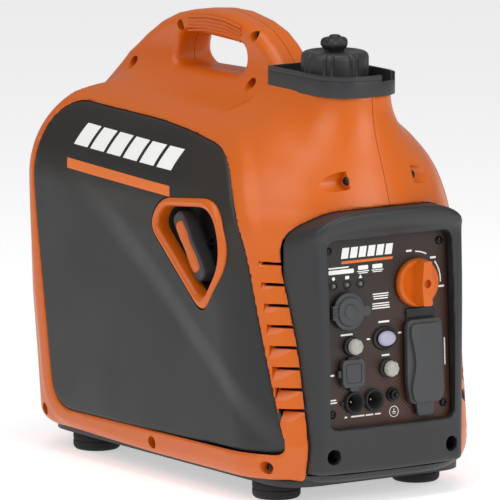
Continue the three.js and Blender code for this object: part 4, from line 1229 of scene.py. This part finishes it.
def bar(width, height):
    return rectangle(width, height, min(height, width) * 0.3, steps=3)


def slanted(width, height, slant):
    return [(0, 0), (width, 0), (width + slant, height), (slant, height)]


prints = [(slanted(8.2, 10.5, 2.2), -51 + i * 10.4, 71.5) for i in range(6)]
prints += [(bar(24, 1.4), -54, 63), (bar(30, 4.2), -51, 58.9)]
prints += [(bar(12, 4.2), -25 + i * 17, 61) for i in range(2)]
prints += [
    (bar(width, 0.9), -25 + i * 17, 57.4 - row * 1.7)
    for i in range(2)
    for row, width in enumerate((14, 11))
]
prints += [(circle(1.8, 20), LAMPS["oil_lamp"].x, 52.8)]
prints += [(rectangle(4.8, 3.2, 0.8), LAMPS["overload_lamp"].x, 52.8)]
prints += [([(-2.2, -1.6), (2.2, -1.6), (0, 1.9)], LAMPS["output_lamp"].x, 52.5)]
prints += [
    (bar(width, 1.1), -5, 33.5 - row * 2.3 - (row > 2) * 2.6)
    for row, width in enumerate((19, 18, 17, 20, 20, 21))
]
prints += [(bar(13, 1.8), ECONOMY.x, 5.6)]
prints += [(bar(4, 1.6), ECONOMY.x - 19, -10), (bar(4, 1.6), ECONOMY.x + 18.5, -7)]
prints += [(bar(14, 1.8), DC_SOCKET.x, -3.4), (bar(9.5, 1.8), AC_BREAKER.x - 1, -27.5)]
prints += [(bar(5, 1.8), USB.x - 21, -42)]
prints += [(bar(width, 1.3), -65, -66.4 - row * 2.6) for row, width in enumerate((8, 10))]
prints += [(bar(width, 1.5), u, -84.5) for u, width in ((-50, 3), (-36, 16), (-22, 9), (-12, 7))]
prints += [(bar(1.4, 27), 69.8, -30)]
prints += [(ring_arc(5.2, 0.7, 0, 359.9), 7.2, -84.1), (bar(5, 0.7), 7.2, -84.4), (bar(3, 0.7), 7.2, -86)]
prints += [(bar(0.7, 3), 7.2, -82.6)]
prints += [(ring_arc(30.3, 1.3, 62, 88), DIAL.x, DIAL.y), (ring_arc(30.3, 1.3, -4, 38), DIAL.x, DIAL.y)]
prints += [(bar(7, 2), DIAL.x - 6.5, DIAL.y + 31.5), (bar(7, 2), DIAL.x + 22, DIAL.y + 22.6)]
prints += [(bar(8, 2), DIAL.x + 30.5, DIAL.y - 6.5)]
white_print = joined("panel_white_print", [
    prism("mark", shape, 0.02, INK, at(u, v)) for shape, u, v in prints
])
finish_piece(white_print, WHITE_INK)
orange_print = prism("panel_orange_print", slanted(61, 2.6, 0.8), 0.02, INK, at(-51, 66.4))
finish_piece(orange_print, ORANGE_INK)
panel_screws = [(PANEL @ Vector((u, v, 0.8)), PANEL.to_3x3() @ Vector((0, 0, 1))) for u, v in PANEL_SCREWS]
placed("panel_screws", screw_head(), panel_screws, BLACK_ZINC, size=0.95)

# ---- Engine dial ---------------------------------------------------------------------------------
# Moulded in orange ABS: a dished disc with a waisted grip bar across it and a hole down its middle,
# on the steel spindle of the engine switch and choke.
BAR_OUTLINE = [
    (-5.5, -22, 3), (5.5, -22, 3), (4.6, -10, 8), (9.3, 0, 9), (5, 10, 8), (6, 22, 3), (-4, 22, 3),
    (-5, 10, 8), (-6.6, 0, 9), (-6, -10, 8),
]
dial_frame = at(DIAL.x, DIAL.y)
dial = turned("engine_dial_moulding", [
    (0, 7.2), (17.5, 7.2), (19.5, 8.6), (21.5, 8.8), (23.2, 7.6), (24, 5.2), (24, 1.4), (23.4, 0.6), (0, 0.6),
], 96, None, dial_frame)
cut(dial, [prism("bar", rounded(BAR_OUTLINE, steps=8), 3, 22, dial_frame)], "UNION")
cut(dial, [
    prism("spindle", circle(4.6, 32), 0, 15, dial_frame),
    prism("bore", circle(4.3, 32), 17, 24, dial_frame),
])
finish_piece(dial, ORANGE, "dial", ["engine_dial"], bevel=1.1, segments=3, angle=40)

# ---- Socket covers -------------------------------------------------------------------------------
# Grey rubber caps on flat hinges: a round one with raised rings over the 12 V socket, and a square
# one with a pressed square over the USB port.
dc_frame = at(DC_SOCKET.x, DC_SOCKET.y)
dc_cover = turned("dc_socket_cover_moulding", [
    (0, 9.6), (6.4, 9.6), (7.2, 9.1), (7.4, 8.4), (9.6, 8.2), (12.2, 8.6), (13.6, 8.4),
    (14.4, 7.2), (14.7, 6.2), (17.2, 6.2), (18.3, 5.6), (18.5, 4.6), (18.2, 3.4), (0, 3.4),
], 80, None, dc_frame)
cut(dc_cover, [prism("tab", rectangle(13, 10, 4.4, 18.8, -1), 3.4, 6.0, dc_frame)], "UNION")
cut(dc_cover, [prism("hinge", rectangle(6, 14, 1.5, -18, 0), 3.4, 8.4, dc_frame)], "UNION")
hinge_grooves = [
    prism("rib", rectangle(8, 0.9, 0.3, -18, v), 7.4, 9, dc_frame)
    for v in (-4, -1.3, 1.3, 4)
]
cut(dc_cover, [joined("ribs", hinge_grooves)])
finish_piece(
    dc_cover, GREY_RUBBER, "dc_socket_cover", ["dc_socket_cover"], bevel=0.5, angle=40)

usb_frame = at(USB.x, USB.y)
usb_cover = prism("usb_cover_moulding", rectangle(26, 27, 5.5), 2.2, 7.4, usb_frame)
cut(usb_cover, [prism("neck", rectangle(8, 7, 1, 0, 12), 2.2, 5, usb_frame)], "UNION")
cut(usb_cover, [prism("tab", rectangle(10, 8, 3, 2, -14), 2.2, 5, usb_frame)], "UNION")
cut(usb_cover, [prism("peg", rectangle(6, 7, 1, -13.4, 0), 2.2, 5, usb_frame)], "UNION")
groove = prism("groove", rectangle(18.4, 19.4, 3), 6.8, 9, usb_frame)
cut(groove, [prism("inner", rectangle(16.6, 17.6, 2.4), 6, 10, usb_frame)])
cut(usb_cover, [groove])
finish_piece(
    usb_cover, GREY_RUBBER, "usb_cover", ["usb_cover"], bevel=1.1, segments=3, angle=40)

# ---- Breakers and economy switch -----------------------------------------------------------------
# Round black collars hold push-to-reset breakers under ribbed clear boots; the economy rocker sits
# under an oval one. The boots are silicone rubber, milky and slightly cloudy.
SILICONE = moulded("clear silicone rubber", "C9C8C0", 0.24, grain=0.05, mottle=0.08, ior=1.41)
SILICONE.node_tree.nodes["Principled BSDF"].inputs["Transmission Weight"].default_value = 0.35
SILICONE.node_tree.nodes["Principled BSDF"].inputs["Subsurface Weight"].default_value = 0.2
SILICONE.node_tree.nodes["Principled BSDF"].inputs["Subsurface Radius"].default_value = (0.004, 0.004, 0.004)
LILAC = moulded("lilac silicone rubber", "A9A8BC", 0.3, grain=0.05, mottle=0.04, ior=1.41)
LILAC.node_tree.nodes["Principled BSDF"].inputs["Subsurface Weight"].default_value = 0.2
LILAC.node_tree.nodes["Principled BSDF"].inputs["Subsurface Radius"].default_value = (0.004, 0.004, 0.004)


def boot_lobes(angle, radius, height):
    return radius * (1 + 0.03 * math.cos(8 * angle)) if radius > 4 and height > 7.5 else radius


for name, place in (("dc_breaker", DC_BREAKER), ("ac_breaker", AC_BREAKER)):
    view = at(place.x, place.y)
    collar = turned(name + "_collar", [
        (4.2, 4), (7.6, 4.2), (8.9, 3.6), (9.5, 2.4), (9.5, 0.4), (6, 0.4), (6, -24),
        (0, -24), (0, -20), (4.2, -20),
    ], 56, None, view)
    finish_piece(collar, BLACK, "case", [name], angle=50)
    boot = turned(name + "_boot", [
        (0, 14.5), (2.2, 14.2), (3, 13.4), (5, 13.1), (6.6, 12), (7.6, 10.4), (7.9, 8.4),
        (7.7, 6.9), (3.7, 6.7), (3.7, -8), (0, -8),
    ], 96, boot_lobes, view)
    finish_piece(boot, SILICONE, name + "_button", [name + "_button"], angle=60)

economy_frame = at(ECONOMY.x, ECONOMY.y)


def oval(ratio):
    return Matrix.Diagonal((1, ratio, 1, 1))


economy_ring = turned("economy_bezel_moulding", [
    (11.7, 3.1), (12.6, 3.4), (13.8, 2.8), (14.5, 1.4), (14.5, 0.4), (10.5, 0.4), (10.5, -12),
    (8.5, -12), (8.5, 1.2), (11.7, 1.2),
], 72, None, economy_frame @ oval(0.82))
finish_piece(economy_ring, BLACK, "case", ["economy_bezel"], angle=50)
rocker = turned("economy_rocker_boot", [
    (0, 8), (5, 7.9), (8.2, 7.2), (9.6, 6.2), (10.2, 5), (10.2, 4.1), (3.5, 4), (3.5, -4), (0, -4),
], 72, None, economy_frame @ oval(0.73))
finish_piece(rocker, LILAC, "economy_rocker", ["economy_rocker"], angle=60)

# ---- Parallel outlets, ground terminal and lamps -------------------------------------------------
# Black cups with a plated brass pin at the bottom and a tether peg beside each, a black zinc plated
# ground stud with its knurled nut, and three small lamps under smoked domes.
BRASS = moulded("nickel plated brass", "B9A874", 0.3, grain=0.05)
BRASS.node_tree.nodes["Principled BSDF"].inputs["Metallic"].default_value = 1.0
for i, place in enumerate(OUTLETS):
    view = at(place.x, place.y)
    cup = turned(f"parallel_outlet_{i + 1}_cup", [
        (5, -18), (9, -18), (9, 0.4), (11, 0.4), (11, 4), (10.5, 4.6), (9.4, 4.6), (8.8, 4),
        (8.2, 1), (5.6, -6), (5, -8),
    ], 56, None, view)
    finish_piece(cup, BLACK_RUBBER, "case", [f"parallel_outlet_{i + 1}"], angle=50)
    pin_profile = [(0, -3), (1.2, -3.4), (1.6, -4.4), (1.6, -17), (0, -17)]
    pin = turned(f"parallel_pin_{i + 1}", pin_profile, 20, None, view)
    finish_piece(pin, BRASS, angle=50)
    peg = turned(f"parallel_peg_{i + 1}", [
        (0, 2.6), (1.6, 2.4), (2.3, 1.6), (2.4, 0.4), (0, 0.4)], 24, None, at(place.x - 13.6, place.y))
    finish_piece(peg, BLACK_RUBBER, angle=50)


def knurl(angle, radius, height):
    return radius * (1 + 0.03 * math.cos(24 * angle)) if radius > 4.6 and height > 2.4 else radius


ground = turned("ground_terminal_stud", [
    (0, 11), (1.8, 10.8), (2.6, 10.2), (2.8, 9.2), (2.8, 6.8), (4.7, 6.4), (5, 5.8), (5, 3.2),
    (4.8, 2.6), (6.8, 2.4), (7, 2), (7, 0.4), (3.2, 0.4), (3.2, -10), (0, -10),
], 96, knurl, at(GROUND.x, GROUND.y))
finish_piece(ground, BLACK_ZINC, "case", ["ground_terminal"], angle=50)
LAMP_LENS = moulded("smoked acrylic", "6A6864", 0.12, grain=0.02, ior=1.49)
for name, place in LAMPS.items():
    view = at(place.x, place.y)
    lens = turned(name + "_lens", [
        (0, 1.6), (1.2, 1.4), (2.1, 0.8), (2.6, 0.1), (2.7, -1), (2.7, -4), (0, -4)], 32, None, view)
    finish_piece(lens, LAMP_LENS, "case", [name], angle=60)
    ring = turned(name + "_ring", [(3.3, 0.1), (3.5, 0.8), (4.1, 1), (4.7, 0.7), (4.9, 0.1)], 40, None, view)
    finish_piece(ring, BLACK, angle=60)

# ---- Outlet cover --------------------------------------------------------------------------------
# A thick grey rubber flap over the duplex outlet: a waisted pad raised on a flat flange, with a pull
# tab at the foot. It folds on a strap held under the top of the outlet's frame.
FLAP_OUTLINE = [(-18, -37, 6), (18, -37, 6), (22, -18, 10), (20.5, 46, 7), (-20.5, 46, 7), (-22, -18, 10)]
PAD_OUTLINE = [(-15.5, -35, 5), (16.5, -35, 5), (20, -22, 10), (14.5, 4, 40), (18.5, 33, 14), (16.5, 42, 6),
               (-17.5, 42, 6), (-18.5, 33, 14), (-12, 4, 40), (-19, -22, 10)]
TAB_OUTLINE = [(-9, -49, 3), (9, -49, 3), (11, -34, 3), (-11, -34, 3)]
flap_frame = at(DUPLEX.x, DUPLEX.y - 8)
flap = prism("outlet_cover_flap", rounded(FLAP_OUTLINE, steps=8), 3.6, 8.6, flap_frame)
cut(flap, [prism("pad", rounded(PAD_OUTLINE, steps=12), 5, 12.4, flap_frame)], "UNION")
cut(flap, [prism("tab", rounded(TAB_OUTLINE, steps=6), 3.7, 7, flap_frame)], "UNION")
finish_piece(
    flap, GREY_RUBBER, "outlet_cover", ["outlet_cover"], bevel=1.5, segments=3, angle=40)
strap = prism("outlet_strap", rectangle(34, 9, 3, 0, 11.5), 0.5, 3.1, at(DUPLEX.x, 0))
finish_piece(strap, GREY_RUBBER, bevel=0.8, angle=40)

# ---- Hidden works --------------------------------------------------------------------------------
# The engine, alternator, starter reel, tank and electronics keep their designed shapes, and so do
# the sockets under the panel's covers and the exhaust outlet. Each takes its own slot's finish.
def metal(name, colour, roughness, grain_mm, bump):
    material = moulded(name, colour, roughness, grain=bump, mottle=0.1, grain_mm=grain_mm)
    material.node_tree.nodes["Principled BSDF"].inputs["Metallic"].default_value = 1.0
    return material


CAST = metal("sand cast aluminium", "9C9EA0", 0.5, 1.4, 0.6)
STEEL = metal("aluminised steel sheet", "A2A3A5", 0.32, 2.5, 0.15)
IRON = metal("cast iron", "55565A", 0.55, 1.2, 0.5)
COPPER = metal("enamelled copper wire", "A8592E", 0.35, 0.8, 0.5)
SLOT_FINISHES = {
    "orange_housing": ORANGE, "charcoal_cover": CHARCOAL, "black_plastic": BLACK, "soft_rubber": BLACK_RUBBER,
    "rope_cord": NYLON, "panel_decal": DECAL, "clear_boot": SILICONE, "cast_alloy": CAST, "rotor_iron": IRON,
    "bright_steel": STEEL, "copper_winding": COPPER, "brass_terminal": BRASS,
}
for subpart in frame["record"]["subparts"]:
    node = frame["nodes"][subpart["node"]]
    node.data.materials.clear()
    node.data.materials.append(SLOT_FINISHES[subpart["material_slot"]])
